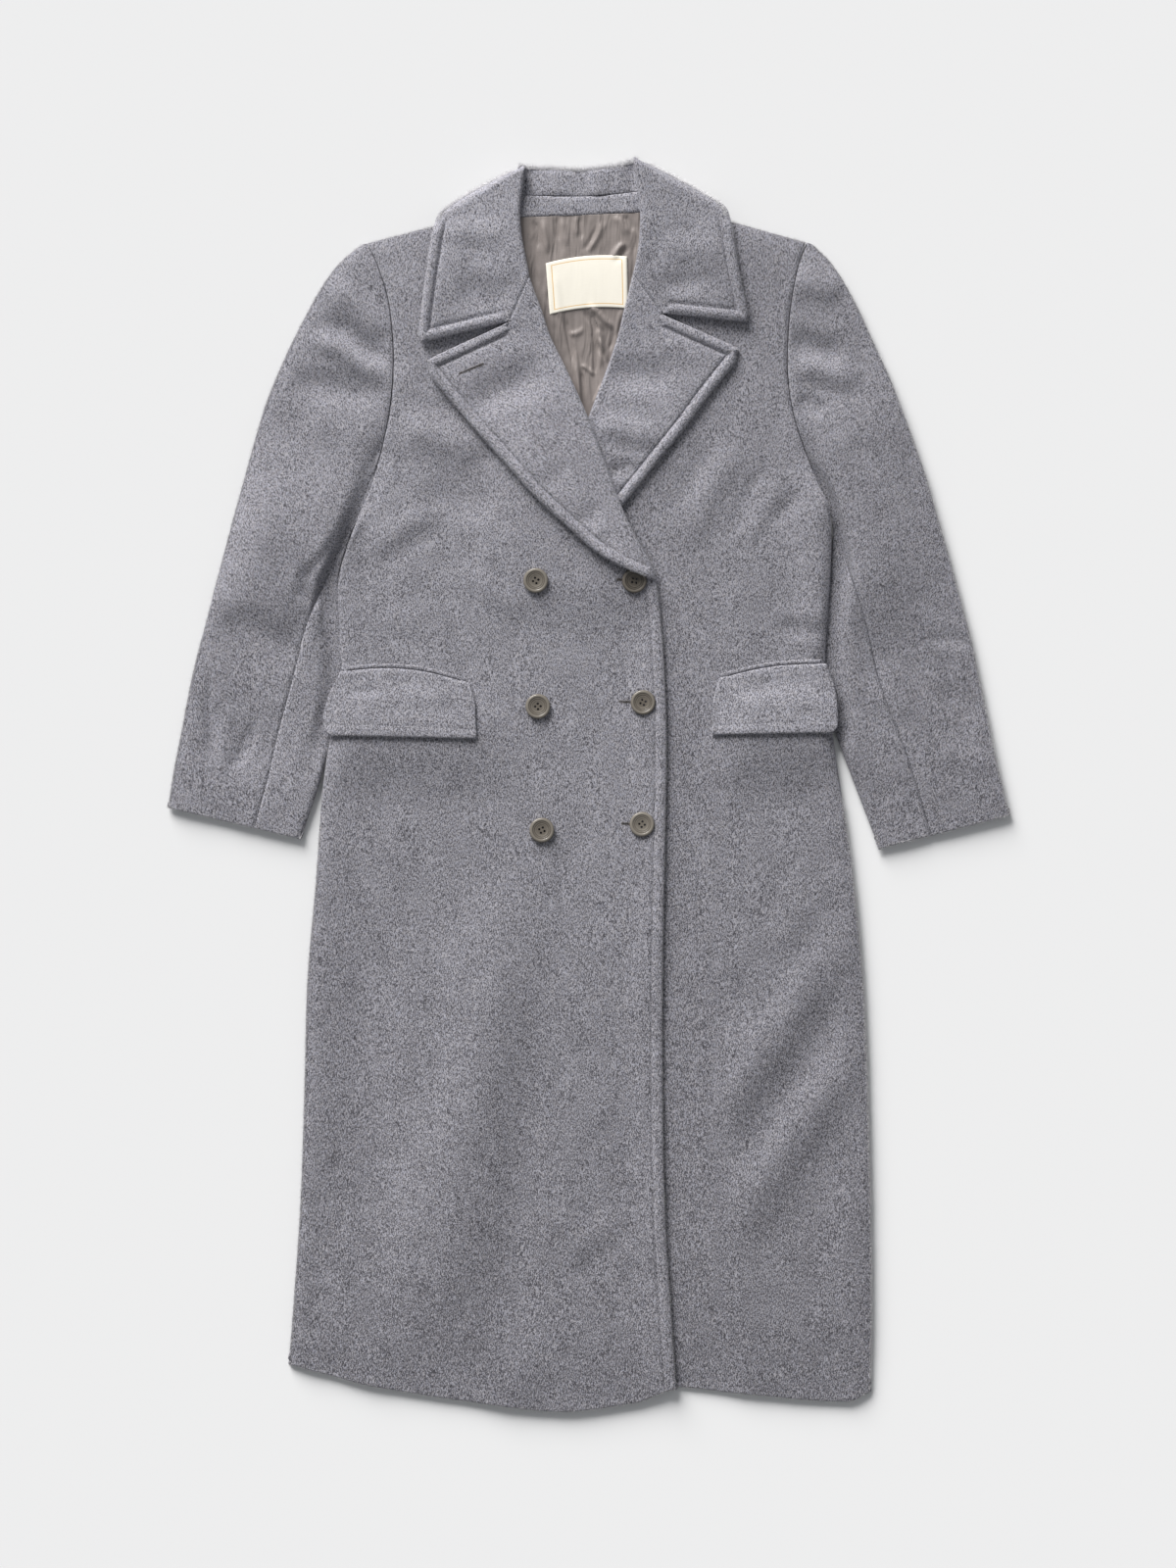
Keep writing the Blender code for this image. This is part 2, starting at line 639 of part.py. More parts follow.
def spread(name, rows, places, across, level, material):
    """A flat panel: level gives the low and high face at a point of a row."""
    outer, inner = [], []
    for place in places:
        row = section(rows, place)
        start, end = Vector((row.start_x, row.start_y)), Vector((row.end_x, row.end_y))
        face, back = [], []
        for share in across:
            x, y = start.lerp(end, share)
            low, high = level(x, y, row, share, (end - start).length, place)
            face.append((x, y, high))
            back.append((x, y, low))
        outer.append(face)
        inner.append(back)
    return wall(name, outer, inner, material)


def even(count):
    """Even shares from 0 to 1."""
    return [step / count for step in range(count + 1)]


def along(rows, steps):
    """Places along a table, so many to each row."""
    return [step / steps for step in range(steps * (len(rows) - 1) + 1)]


def fall_level(x, y, row, share, width, place):
    """The fall lies on the ground and rolls up to its crease with the leaves, and to its top fold."""
    rise = 1 - row.roll * (1 - quarter(min(share, 1 - share) * width / SIDE_ROLL))
    low, high = rolled(0, FACED, CREASE_LEVEL, rise)
    if place < FALL_TOP_ROLL:
        low, high = blend(FACED - EDGE_WALL, low, quarter(place / FALL_TOP_ROLL)), min(high, FACED)
    return low, high


def stand_level(x, y, row, share, width, place):
    """The stand lies on the fall, rounded down to the fold at its top edge."""
    top = blend(EDGE_WALL, FACED, quarter(share * width / STAND_ROLL))
    return COLLAR_LIFT, COLLAR_LIFT + top


def facing_level(x, y, row, share, width, place):
    """The neck facing lies on the back."""
    low = lift(x, y) + WOOL + SEAM
    return low, low + WOOL


def lining_level(x, y, row, share, width, place):
    """The lining lies on the back below the facing."""
    low = lift(x, y) + WOOL + 2 * SEAM
    return low, low + SATIN


def label_level(x, y, row, share, width, place):
    """The label lies on the lining."""
    low = lift(x, y) + WOOL + SATIN + 3 * SEAM
    return low, low + SATIN


def flap(name, rows, arch, low_at):
    """A faced pocket flap lying on the front, arched along its top, stitched along its foot."""
    outer, inner = [], []
    last = len(rows) - 1
    foot = [last - inset / FLAP_ROW for inset in reversed(WELT_STEPS)]
    for place in list(FLAP_TOP_PLACES) + foot:
        row = section(rows, place)
        start, end = Vector((row.outer_x, row.outer_y)), Vector((row.inner_x, row.inner_y))
        width = (end - start).length
        sides = [0, FLAP_SIDE / 3 / width, FLAP_SIDE / width]
        face, back = [], []
        for share in sides + list(FLAP_ACROSS) + [1 - step for step in reversed(sides)]:
            x, y = start.lerp(end, share)
            y += arch * sin(pi * share) * ease(1 - place / last)
            low = max(low_at(x, y), WOOL + SLACK) + WOOL + SEAM
            edge = quarter(min(share, 1 - share) * width / FLAP_SIDE)
            edge *= quarter(place / FLAP_TOP_PLACES[2] + SEAM)
            high = low + blend(EDGE_WALL, FACED + welt_rise(FLAP_ROW * (last - place)), edge)
            face.append((x, y, high))
            back.append((x, y, low))
        outer.append(face)
        inner.append(back)
    return wall(name, outer, inner, GREY_WOOL)


def jet(name, rows, arch, low_at):
    """The narrow jet along the pocket mouth, just above the flap."""
    outer, inner = [], []
    top = rows[0]
    start, end = Vector((top.outer_x, top.outer_y)), Vector((top.inner_x, top.inner_y))
    for step in even(JET_ALONG):
        share = blend(JET_FROM, JET_TO, step)
        x, y = start.lerp(end, share)
        y += arch * sin(pi * share) + 2 * SEAM
        face, back = [], []
        for step, height in JET_SECTION:
            low = low_at(x, y + step * JET_WIDTH) + WOOL + SEAM
            face.append((x, y + step * JET_WIDTH, low + JET_HEIGHT * height))
            back.append((x, y + step * JET_WIDTH, low))
        outer.append(face)
        inner.append(back)
    return wall(name, outer, inner, GREY_WOOL)


def button_mesh():
    """A turned button with a raised rim, a dished middle and four holes through it."""
    profile = (
        (0, 0),
        (BUTTON_RADIUS - BUTTON_FOOT_ROUND, 0),
        (BUTTON_RADIUS, BUTTON_WAIST),
        (BUTTON_RADIUS - BUTTON_RIM_ROUND, BUTTON_HEIGHT - BUTTON_RIM_ROUND),
        (BUTTON_RADIUS - BUTTON_RIM_WIDTH, BUTTON_HEIGHT),
        (BUTTON_DISH_RADIUS, BUTTON_HEIGHT - BUTTON_DISH_DEPTH),
        (0, BUTTON_HEIGHT - BUTTON_DISH_DEPTH),
    )
    bm = bmesh.new()
    points = [bm.verts.new((radius * MM, 0, height * MM)) for radius, height in profile]
    edges = [bm.edges.new(pair) for pair in zip(points, points[1:])]
    bmesh.ops.spin(bm, geom=points + edges, axis=(0, 0, 1), cent=(0, 0, 0), angle=2 * pi,
                   steps=BUTTON_SIDES, use_merge=True)
    bmesh.ops.remove_doubles(bm, verts=bm.verts[:], dist=0.01 * MM)
    bmesh.ops.recalc_face_normals(bm, faces=bm.faces[:])
    blank = add_object("button blank", bm, HORN)
    cutters = bmesh.new()
    for side_x in (-1, 1):
        for side_y in (-1, 1):
            place = Matrix.Translation(Vector((side_x, side_y, 0)) * HOLE_SPACING * MM)
            bmesh.ops.create_cone(cutters, cap_ends=True, segments=HOLE_SIDES, radius1=HOLE_RADIUS * MM,
                                  radius2=HOLE_RADIUS * MM, depth=4 * BUTTON_HEIGHT * MM, matrix=place)
    cutter = add_object("button hole cutter", cutters, HORN)
    cut = blank.modifiers.new("holes", "BOOLEAN")
    cut.object = cutter
    cut.operation = "DIFFERENCE"
    cut.solver = "EXACT"
    drilled = bpy.data.meshes.new_from_object(blank.evaluated_get(bpy.context.evaluated_depsgraph_get()))
    for scrap in (blank, cutter):
        bpy.data.objects.remove(scrap, do_unlink=True)
    return drilled


def coat():
    """Lay the pieces from the ground up."""
    back_panel()
    front("front_left", LEFT_FRONT, LEFT_HEM, left_front_low, LEFT_ACROSS)
    front("front_right", RIGHT_FRONT, RIGHT_HEM, right_front_low, RIGHT_ACROSS)

    right_sleeve = sleeve_rows(RIGHT_SLEEVE_CAP, RIGHT_SLEEVE_ARM, RIGHT_FRONT, -1)
    left_sleeve = sleeve_rows(LEFT_SLEEVE_CAP, LEFT_SLEEVE_ARM, LEFT_FRONT, 1)
    upper_sleeve("sleeve_upper_right", right_sleeve, RIGHT_SLEEVE_FOLDS)
    upper_sleeve("sleeve_upper_left", left_sleeve, LEFT_SLEEVE_FOLDS)
    under_sleeve("sleeve_under_right", right_sleeve)
    under_sleeve("sleeve_under_left", left_sleeve)

    spread("collar_fall", COLLAR_FALL, FALL_PLACES, FALL_ACROSS, fall_level, GREY_WOOL)
    spread("collar_stand", COLLAR_STAND, along(COLLAR_STAND, 2), STAND_ACROSS, stand_level, GREY_WOOL)
    spread("neck_facing", NECK_FACING, along(NECK_FACING, 2), even(2), facing_level, GREY_WOOL)
    spread("lining", LINING, along(LINING, 3), even(6), lining_level, TAUPE_SATIN)
    spread("label", LABEL, along(LABEL, 3), even(4), label_level, CREAM_SATIN)

    turned_piece("lapel_left", LEFT_LAPEL, left_front_low, True, False)
    turned_piece("lapel_right", RIGHT_LAPEL, right_front_low, True, False)
    turned_piece("collar_leaf_left", LEFT_LEAF, left_front_low, False, True)
    turned_piece("collar_leaf_right", RIGHT_LEAF, right_front_low, False, True)

    flap("flap_right", RIGHT_FLAP, RIGHT_FLAP_ARCH, right_front_low)
    flap("flap_left", LEFT_FLAP, LEFT_FLAP_ARCH, left_front_low)
    jet("jet_right", RIGHT_FLAP, RIGHT_FLAP_ARCH, right_front_low)
    jet("jet_left", LEFT_FLAP, LEFT_FLAP_ARCH, left_front_low)

    drilled = button_mesh()
    reach = BUTTON_RADIUS
    for number, spot in enumerate(BUTTONS, 1):
        button = bpy.data.objects.new(f"button_{number}", drilled)
        level = right_front_low(spot.x, spot.y) + WOOL + SEAM
        slope_x = right_front_low(spot.x + reach, spot.y) - right_front_low(spot.x - reach, spot.y)
        slope_y = right_front_low(spot.x, spot.y + reach) - right_front_low(spot.x, spot.y - reach)
        button.location = Vector((spot.x, spot.y, level)) * MM
        button.rotation_euler = Vector((-slope_x, -slope_y, 2 * reach)).to_track_quat("Z", "Y").to_euler()
        bpy.context.scene.collection.objects.link(button)


coat()
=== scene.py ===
from collections import namedtuple
from math import pi, radians

import bmesh
import bpy
import numpy as np
from mathutils import Matrix, Vector


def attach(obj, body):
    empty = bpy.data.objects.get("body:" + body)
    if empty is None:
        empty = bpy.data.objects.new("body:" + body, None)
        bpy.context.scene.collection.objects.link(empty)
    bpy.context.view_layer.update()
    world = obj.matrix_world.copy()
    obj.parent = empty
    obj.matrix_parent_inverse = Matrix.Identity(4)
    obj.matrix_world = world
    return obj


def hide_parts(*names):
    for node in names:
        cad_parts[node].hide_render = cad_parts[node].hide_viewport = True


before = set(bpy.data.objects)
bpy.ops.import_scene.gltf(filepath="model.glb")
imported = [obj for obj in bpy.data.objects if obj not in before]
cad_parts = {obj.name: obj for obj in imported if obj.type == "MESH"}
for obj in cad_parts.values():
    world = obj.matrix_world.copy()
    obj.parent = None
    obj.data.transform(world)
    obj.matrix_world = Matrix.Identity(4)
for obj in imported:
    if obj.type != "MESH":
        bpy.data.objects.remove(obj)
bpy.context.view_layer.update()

# Studio: a pale paper floor that the coat lies on, a broad soft light from beyond the collar with an even
# fill all round, and a camera looking straight down at the middle of the coat.
MM = 0.001
FLOOR_SIZE = 20.0
FLOOR_DROP = 0.6
PAPER = (0.80, 0.805, 0.815)
SKY, SKY_STRENGTH = (0.96, 0.98, 1.0), 0.30
KEY_COLOUR, KEY_STRENGTH, KEY_SPREAD = (1.0, 0.985, 0.965), 5.8, 36
KEY_FROM = (-0.46, 1.0, 0.51)
VIEW_HEIGHT = 1.6
VIEW_MIDDLE = (-0.001, 0.0)
LENS = 100.0
SENSOR = 36.0

scene = bpy.context.scene
scene.view_settings.view_transform = "Standard"


def new_material(name, **inputs):
    """A material, its node tree and its shader, whose named inputs are set."""
    material = bpy.data.materials.new(name)
    material.use_nodes = True
    shader = material.node_tree.nodes["Principled BSDF"]
    for key, value in inputs.items():
        shader.inputs[key.replace("_", " ")].default_value = value
    return material, material.node_tree, shader


def new_object(name, data):
    """A mesh, light or camera placed in the scene."""
    thing = bpy.data.objects.new(name, data)
    scene.collection.objects.link(thing)
    return thing


def finished_mesh(name, bm, *materials):
    """A mesh of what a bmesh holds, which is then freed."""
    mesh = bpy.data.meshes.new(name)
    bm.to_mesh(mesh)
    bm.free()
    for material in materials:
        mesh.materials.append(material)
    return mesh


paper = new_material("pale paper", Base_Color=(*PAPER, 1), Roughness=0.9, Specular_IOR_Level=0.1)[0]
bm = bmesh.new()
bmesh.ops.create_grid(bm, x_segments=1, y_segments=1, size=FLOOR_SIZE,
                      matrix=Matrix.Translation((0, 0, -FLOOR_DROP * MM)))
floor = new_object("floor", finished_mesh("floor", bm, paper))

world = bpy.data.worlds.new("studio")
world.use_nodes = True
sky = world.node_tree.nodes["Background"]
sky.inputs["Color"].default_value = (*SKY, 1)
sky.inputs["Strength"].default_value = SKY_STRENGTH
scene.world = world

key = bpy.data.lights.new("key", "SUN")
key.energy = KEY_STRENGTH
key.angle = radians(KEY_SPREAD)
key.color = KEY_COLOUR
new_object("key", key).rotation_euler = Vector(KEY_FROM).to_track_quat("Z", "Y").to_euler()

camera_data = bpy.data.cameras.new("camera")
camera_data.lens = LENS
camera_data.sensor_fit = "VERTICAL"
camera_data.sensor_height = SENSOR
scene.camera = new_object("camera", camera_data)
scene.camera.location = (*VIEW_MIDDLE, VIEW_HEIGHT * LENS / SENSOR)

# Wool cloth: a thick fulled coating of pale and dark grey fibres spun together, brushed so that a short nap
# hides the weave. Fine flecks, slanting fibres and faint cloudy patches show in it.
WOOL_DARK = (0.060, 0.058, 0.067)
WOOL_LIGHT = (0.360, 0.364, 0.424)
WOOL_WARM = (0.404, 0.390, 0.414)
# How much paler the wool is painted towards the top of the coat: a painted light falloff from the collar down to the
# hem.
PAINTED_LIGHT_FALLOFF = 0.22
WOOL_BUMP = 0.0007
FIBRE_SHIFT = (0.0003, 0.0004, 0.0005)


def feed(tree, socket, value):
    """Sets a socket to a value, or links it where a socket is given."""
    if isinstance(value, bpy.types.NodeSocket):
        tree.links.new(value, socket)
    else:
        socket.default_value = value


def linked(tree, kind, **inputs):
    """A node whose named inputs are set or linked."""
    node = tree.nodes.new(kind)
    for name, value in inputs.items():
        feed(tree, node.inputs[name.replace("_", " ")], value)
    return node


def weighed(tree, start, *terms):
    """A sum of sockets, each times its weight."""
    total = start
    for socket, weight in terms:
        step = tree.nodes.new("ShaderNodeMath")
        step.operation = "MULTIPLY_ADD"
        for place, value in enumerate((socket, weight, total)):
            feed(tree, step.inputs[place], value)
        total = step.outputs[0]
    return total


def tint(colour, tone=1.0):
    """A colour made paler or darker, with its alpha."""
    return (*(tone * channel for channel in colour), 1)


def colours_mixed(tree, factor, low, high):
    """A mix of two colours, each given as a value or a socket."""
    node = tree.nodes.new("ShaderNodeMix")
    node.data_type = "RGBA"
    for name, value in (("Factor", factor), ("A", low), ("B", high)):
        feed(tree, node.inputs[name], value)
    return node.outputs["Result"]


wool_fibres = bpy.data.node_groups.new("melange wool fibres", "ShaderNodeTree")
wool_fibres.interface.new_socket(name="Vector", in_out="INPUT", socket_type="NodeSocketVector")
for output in ("Mix", "Warm", "Nap"):
    wool_fibres.interface.new_socket(name=output, in_out="OUTPUT", socket_type="NodeSocketFloat")
fibre_in = wool_fibres.nodes.new("NodeGroupInput").outputs["Vector"]
FIBRE_LEANS, FIBRE_STRETCH = (20, -26), (1, 0.34, 1)
FLECK, SLANT, CLOUD, WARMTH = 2.8, 2.1, 0.44, 2.5
NAP_FLECK, NAP_SLANT = 0.5, 0.4
# Scale, detail and roughness of the noise in single fibres, in cloudy patches and in warmer ones
FIBRE_NOISE, CLOUD_NOISE, WARM_NOISE = (1150.0, 1.0, 0.6), (48.0, 3.0, 0.65), (330.0, 2.0, 0.7)


def fibre_noise(place, kind):
    """One kind of noise at a place in the wool."""
    scale, detail, roughness = kind
    return linked(wool_fibres, "ShaderNodeTexNoise", Vector=place, Scale=scale, Detail=detail,
                  Roughness=roughness).outputs[0]


fleck = fibre_noise(fibre_in, FIBRE_NOISE)
slants = [fibre_noise(linked(wool_fibres, "ShaderNodeMapping", Vector=fibre_in, Rotation=(0, 0, radians(lean)),
                             Scale=FIBRE_STRETCH).outputs[0], FIBRE_NOISE) for lean in FIBRE_LEANS]
cloud = fibre_noise(fibre_in, CLOUD_NOISE)
warm_patches = fibre_noise(fibre_in, WARM_NOISE)
linked(wool_fibres, "NodeGroupOutput",
       Mix=weighed(wool_fibres, 0.5 - 0.5 * (FLECK + 2 * SLANT + CLOUD), (fleck, FLECK),
                   (slants[0], SLANT), (slants[1], SLANT), (cloud, CLOUD)),
       Warm=weighed(wool_fibres, 0.5 - 0.5 * WARMTH, (warm_patches, WARMTH)),
       Nap=weighed(wool_fibres, 0.0, (fleck, NAP_FLECK), (slants[0], NAP_SLANT), (slants[1], NAP_SLANT)))


def wool_cloth(name, turn, tone=1.0, dark=WOOL_DARK, cool=WOOL_LIGHT, warm=WOOL_WARM):
    """Brushed wool, its nap turned so many degrees from the coat's length; painted paler towards the top as a painted
    light falloff, and its colours scaled by a tone that paints light or shade on the piece.
    """
    material, tree, shader = new_material(
        name, Roughness=0.93, Specular_IOR_Level=0.15, Sheen_Weight=0.25, Sheen_Roughness=0.45,
        Sheen_Tint=(0.86, 0.88, 0.95, 1))
    place = tree.nodes.new("ShaderNodeTexCoord").outputs["Object"]
    turned_place = linked(tree, "ShaderNodeMapping", Vector=place, Location=FIBRE_SHIFT,
                          Rotation=(0, 0, radians(turn)))
    fibres = tree.nodes.new("ShaderNodeGroup")
    fibres.node_tree = wool_fibres
    feed(tree, fibres.inputs["Vector"], turned_place.outputs[0])
    height = linked(tree, "ShaderNodeSeparateXYZ", Vector=place)
    # The fibre mix, raised with height on the coat: a painted light falloff, paler at the collar and darker at the hem.
    fibre_mix_with_painted_falloff = weighed(tree, 0.0, (fibres.outputs["Mix"], 1.0), (height.outputs["Y"], PAINTED_LIGHT_FALLOFF))
    pale = colours_mixed(tree, fibres.outputs["Warm"], tint(cool, tone), tint(warm, tone))
    feed(tree, shader.inputs["Base Color"], colours_mixed(tree, fibre_mix_with_painted_falloff, tint(dark, tone), pale))
    nap = linked(tree, "ShaderNodeBump", Height=fibres.outputs["Nap"], Strength=0.7, Distance=WOOL_BUMP)
    feed(tree, shader.inputs["Normal"], nap.outputs[0])
    return material


# Lit and shaded copies of one wool: the tone paints light on the back and right front, and shade on the left front.
body_wool = wool_cloth("body wool", 0, 1.04)
left_front_wool = wool_cloth("left front wool", 0, 0.97)

# Back: one wide panel of the same wool, flat on the floor, turned up along its side seams and shoulders to
# meet the fronts, and held up a little at the neck by the collar that is folded under it.
WOOL = 2.4
FACED = 4.6
SATIN = 1.0
SEAM = 0.3
RIDE = 0.9
SLACK = 3.8
TUBE = WOOL + SLACK + WOOL
SHELL = 1.5
SIDE_ROLL = 16.0
EDGE_WALL = 1.3
COLLAR_LIFT = FACED + SEAM
FALL_MIDDLE_X = -8.0
FALL_REACH = 222.0
FALL_SIDE_SLOPE = 66.0
FALL_LOW_Y = 425.0
FALL_SLOPE = 110.0
RIM_ANGLES = np.radians(np.linspace(-90, 90, 9))
RIM_TURN = 8.0
HEM_RADIUS = 1.5
HEM_FADE_ROWS = 4
HEM_SINK = 2.4
CORNER_DRAW = 0.3
SHOULDER_END = 0.75
NECK_FADE_ROWS = 5
NECK_SEAM_FROM, NECK_SEAM_FADE = 0.2, 0.1
SHOULDER_ROWS = 8
BACK_ROWS, BACK_COLUMNS, BACK_SIDE_COLUMNS = 150, 50, 9
BACK_MIDDLE = (0.06, 0.94)
CENTRE_SEAM, CENTRE_DENT = 3.4, 1.3
CENTRE_REACH, CENTRE_COLUMNS = 0.008, 9
CENTRE_FADE_Y, CENTRE_FADE, CENTRE_AT_NECK = 300, 60, 0.25
CREASE_FADE = 0.3
Crease = namedtuple("Crease", "from_x from_y to_x to_y bow width height")


def table(kind, *rows):
    """A table whose rows all have the names of one kind."""
    return tuple(kind(*row) for row in rows)


BACK_CREASES = table(
    Crease, (-176, 402, -70, 330, 6, 26, 2.4), (168, 385, 82, 300, -5, 24, 2.2), (-205, 240, -118, 268, 4, 18, 1.8),
    (208, 210, 120, 246, -3, 20, 2.0), (-150, 150, 20, 128, 5, 30, 2.2), (60, 84, 196, 98, -4, 24, 1.9),
    (-226, -40, -104, -260, 10, 34, 2.6), (-118, -150, -60, -430, -8, 30, 2.2), (238, -90, 110, -330, -9, 32, 2.6),
    (150, -240, 196, -520, 6, 28, 2.0), (-206, -330, -168, -560, 4, 26, 2.0), (44, -300, 70, -570, 5, 34, 1.8),
)

Front = namedtuple("Front", "edge_x edge_y side_x side_y roll welt", defaults=(0, 0))
RIGHT_FRONT = table(
    Front, (-76, 588, -225, 551), (-75, 568, -215, 528), (-71, 538, -205, 497), (-66, 510, -200, 460),
    (-55, 478, -199, 425), (-43, 444, -202, 385), (-24, 410, -210, 345), (-7, 372, -222, 305), (10, 332, -237, 267),
    (27, 288, -255, 210, 0.5), (45, 245, -254, 160, 1), (66, 211, -252, 122, 1, 0.6), (73, 170, -255, 88, 1, 1),
    (77, 110, -264, 45, 1, 1), (79, 36, -272, -10, 1, 1), (77, -80, -278, -95, 1, 1), (75, -200, -287, -200, 1, 1),
    (75, -310, -290, -310, 1, 1), (77, -425, -294, -425, 1, 1), (83, -530, -301, -530, 1, 1),
    (89, -616, -306, -592, 1, 1),
)
LEFT_FRONT = table(
    Front, (63, 594, 221, 552), (56, 572, 212, 525), (54, 542, 205, 488), (49, 512, 202, 450), (42, 482, 202, 415),
    (33, 448, 207, 380), (20, 415, 217, 347), (4, 376, 231, 311), (-11, 336, 245, 278), (-26, 292, 247, 235, 0.5),
    (-48, 248, 245, 195, 1), (-65, 213, 242, 152, 1), (-71, 172, 241, 118, 1), (-76, 110, 246, 68, 1),
    (-78, 36, 253, 18, 1), (-78, -80, 268, -85, 1), (-78, -200, 279, -200, 1), (-78, -310, 284, -312, 1),
    (-80, -425, 287, -428, 1), (-85, -530, 288, -535, 1), (-90, -612, 287, -618, 1),
)
Drop = namedtuple("Drop", "share drop")
BACK_HEM = table(
    Drop, (0, -5), (0.1, 3), (0.3, 18), (0.47, 24), (0.58, 14), (0.66, -4), (0.8, 0), (0.95, 3), (1, -7),
)
NECK_RISE = table(Drop, (0, 0), (0.34, -37), (0.49, -45), (0.64, -42), (1, 0))


def ease(t):
    """Smooth step from 0 to 1."""
    t = np.clip(t, 0, 1)
    return t * t * (3 - 2 * t)


def quarter(t):
    """Height of a quarter circle, from 0 at its foot to 1 at its crown."""
    return np.sqrt(1 - (1 - np.clip(t, 0, 1)) ** 2)


def blend(low, high, t):
    """A share of the way from one value to another."""
    return low + (high - low) * t


def rows_along(rows, places):
    """A table's columns at places along it, on a smooth curve through its rows."""
    values = np.array(rows, float)
    last = len(values) - 1
    first = np.clip(np.floor(places).astype(int), 0, last - 1)
    t = np.reshape(places - first, np.shape(places) + (1,) * (values.ndim - 1))
    a, b, c, d = (values[np.clip(first + step, 0, last)] for step in (-1, 0, 1, 2))
    return b + 0.5 * t * (c - a + t * (2 * a - 5 * b + 4 * c - d + t * (3 * (b - c) + d - a)))


def columns_of(rows, places):
    """Each column of a table along it, ready to spread across a panel."""
    return [column[:, None] for column in rows_along(rows, places).T]


def drop_at(profile, share):
    """A hem or neck profile, smooth through its points."""
    place = np.interp(share, [row.share for row in profile], range(len(profile)))
    return rows_along([row.drop for row in profile], place)


def rim(radius):
    """Distances in and down, round a turned edge: from the turning underneath to the top."""
    inset = np.r_[radius + RIM_TURN, radius * (1 - np.cos(RIM_ANGLES))]
    drop = np.r_[2 * radius, radius * (1 - np.sin(RIM_ANGLES))]
    return inset, drop


def roll_steps(radius, count):
    """Distances inside an edge at even turns round a soft roll, from the edge in."""
    return radius * (1 - np.cos(np.linspace(0, pi / 2, count)))


def lift(x, y):
    """How far the collar fall holds the back off the floor."""
    across = ease((FALL_REACH - abs(x - FALL_MIDDLE_X)) / FALL_SIDE_SLOPE)
    return COLLAR_LIFT * ease((y - FALL_LOW_Y) / FALL_SLOPE) * across


def creases(x, y, rows):
    """Height of soft ridges (or troughs, where negative), each bowed a little and fading at its ends."""
    rise = np.zeros_like(x)
    for row in rows:
        run_x, run_y = row.to_x - row.from_x, row.to_y - row.from_y
        length = np.hypot(run_x, run_y)
        along = ((x - row.from_x) * run_x + (y - row.from_y) * run_y) / length ** 2
        aside = ((y - row.from_y) * run_x - (x - row.from_x) * run_y) / length
        share = np.clip(along, 0, 1)
        away = np.hypot(aside - row.bow * 4 * share * (1 - share), (along - share) * length)
        rise += row.height * ease(1 - away / row.width) * ease(np.minimum(share, 1 - share) / CREASE_FADE)
    return rise


def lay_cloth(name, points, material, outward=1, at=0.5, thickness=SHELL):
    """A grid of points in millimetres as a smooth cloth shell, its thickness on the inner side."""
    row, column = len(points) // 2, int(at * points.shape[1])
    run, rise = points[row, column + 1] - points[row, column], points[row + 1, column] - points[row, column]
    if np.cross(run, rise)[2] * outward < 0:
        points = points[:, ::-1]
    bm = bmesh.new()
    bmesh.ops.create_grid(bm, x_segments=points.shape[1] - 1, y_segments=len(points) - 1, size=1)
    mesh = finished_mesh(name, bm, material)
    mesh.vertices.foreach_set("co", np.ascontiguousarray(points * MM, dtype=np.float32).ravel())
    mesh.shade_smooth()
    mesh.update()
    piece = new_object(name, mesh)
    shell = piece.modifiers.new("cloth thickness", "SOLIDIFY")
    shell.thickness = thickness * MM
    shell.offset = -1
    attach(piece, "root")
    return piece


def body_rows(last, count):
    """Places along a body panel: close together over the shoulder, even down to the hem, then round it."""
    hem_inset, hem_drop = rim(HEM_RADIUS)
    shoulder = SHOULDER_END * roll_steps(1, SHOULDER_ROWS)
    places = np.r_[shoulder, np.linspace(SHOULDER_END, last, count)[1:-1], np.full(len(hem_inset), last)]
    upper = np.zeros(len(places) - len(hem_inset))
    return places, np.r_[upper, hem_inset[::-1]][:, None], np.r_[upper, hem_drop[::-1]][:, None]


last_row = len(RIGHT_FRONT) - 1
places, hem_inset, hem_drop = body_rows(last_row, BACK_ROWS)
_, _, start_x, start_y, right_roll, _ = columns_of(RIGHT_FRONT, places)
_, _, end_x, end_y, left_roll, _ = columns_of(LEFT_FRONT, places)
width = np.hypot(end_x - start_x, end_y - start_y)
steps = roll_steps(SIDE_ROLL, BACK_SIDE_COLUMNS)[None, :]
at_centre = 0.5 + np.linspace(-CENTRE_REACH, CENTRE_REACH, CENTRE_COLUMNS)
middle = np.unique(np.r_[np.linspace(*BACK_MIDDLE, BACK_COLUMNS), at_centre])
share = np.hstack([steps / width, np.repeat(middle[None, :], len(places), 0), 1 - steps[:, ::-1] / width])
drawn = CORNER_DRAW * hem_inset * (ease(1 - share * width / SIDE_ROLL) - ease(1 - (1 - share) * width / SIDE_ROLL))
x = blend(start_x, end_x, share + drawn / width)
y = blend(start_y, end_y, share)
y -= ease(1 - (last_row - places[:, None]) / HEM_FADE_ROWS) * drop_at(BACK_HEM, share)
y -= (1 - ease(places[:, None] / NECK_FADE_ROWS)) * drop_at(NECK_RISE, share)
side = 1 - blend(right_roll, left_roll, 0.5) * (1 - quarter(np.minimum(share, 1 - share) * width / SIDE_ROLL))
at_neck = ease((0.5 - abs(share - 0.5) - NECK_SEAM_FROM) / NECK_SEAM_FADE)
shoulder = np.maximum(at_neck, quarter(places[:, None] / SHOULDER_END))
level = lift(x, y)
rising = np.minimum(side, shoulder)
z = blend(level + TUBE / 2 - SEAM / 2 - EDGE_WALL, level, rising) + creases(x, y, BACK_CREASES) * ease(rising)
centre_depth = CENTRE_DENT * blend(1, CENTRE_AT_NECK, ease((y - CENTRE_FADE_Y) / CENTRE_FADE))
z += centre_depth * ease(1 - abs(share - 0.5) * width / CENTRE_SEAM)
back = lay_cloth("coat_back", np.dstack([x, y + hem_inset, z + hem_drop]), body_wool, outward=-1)
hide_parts("back")

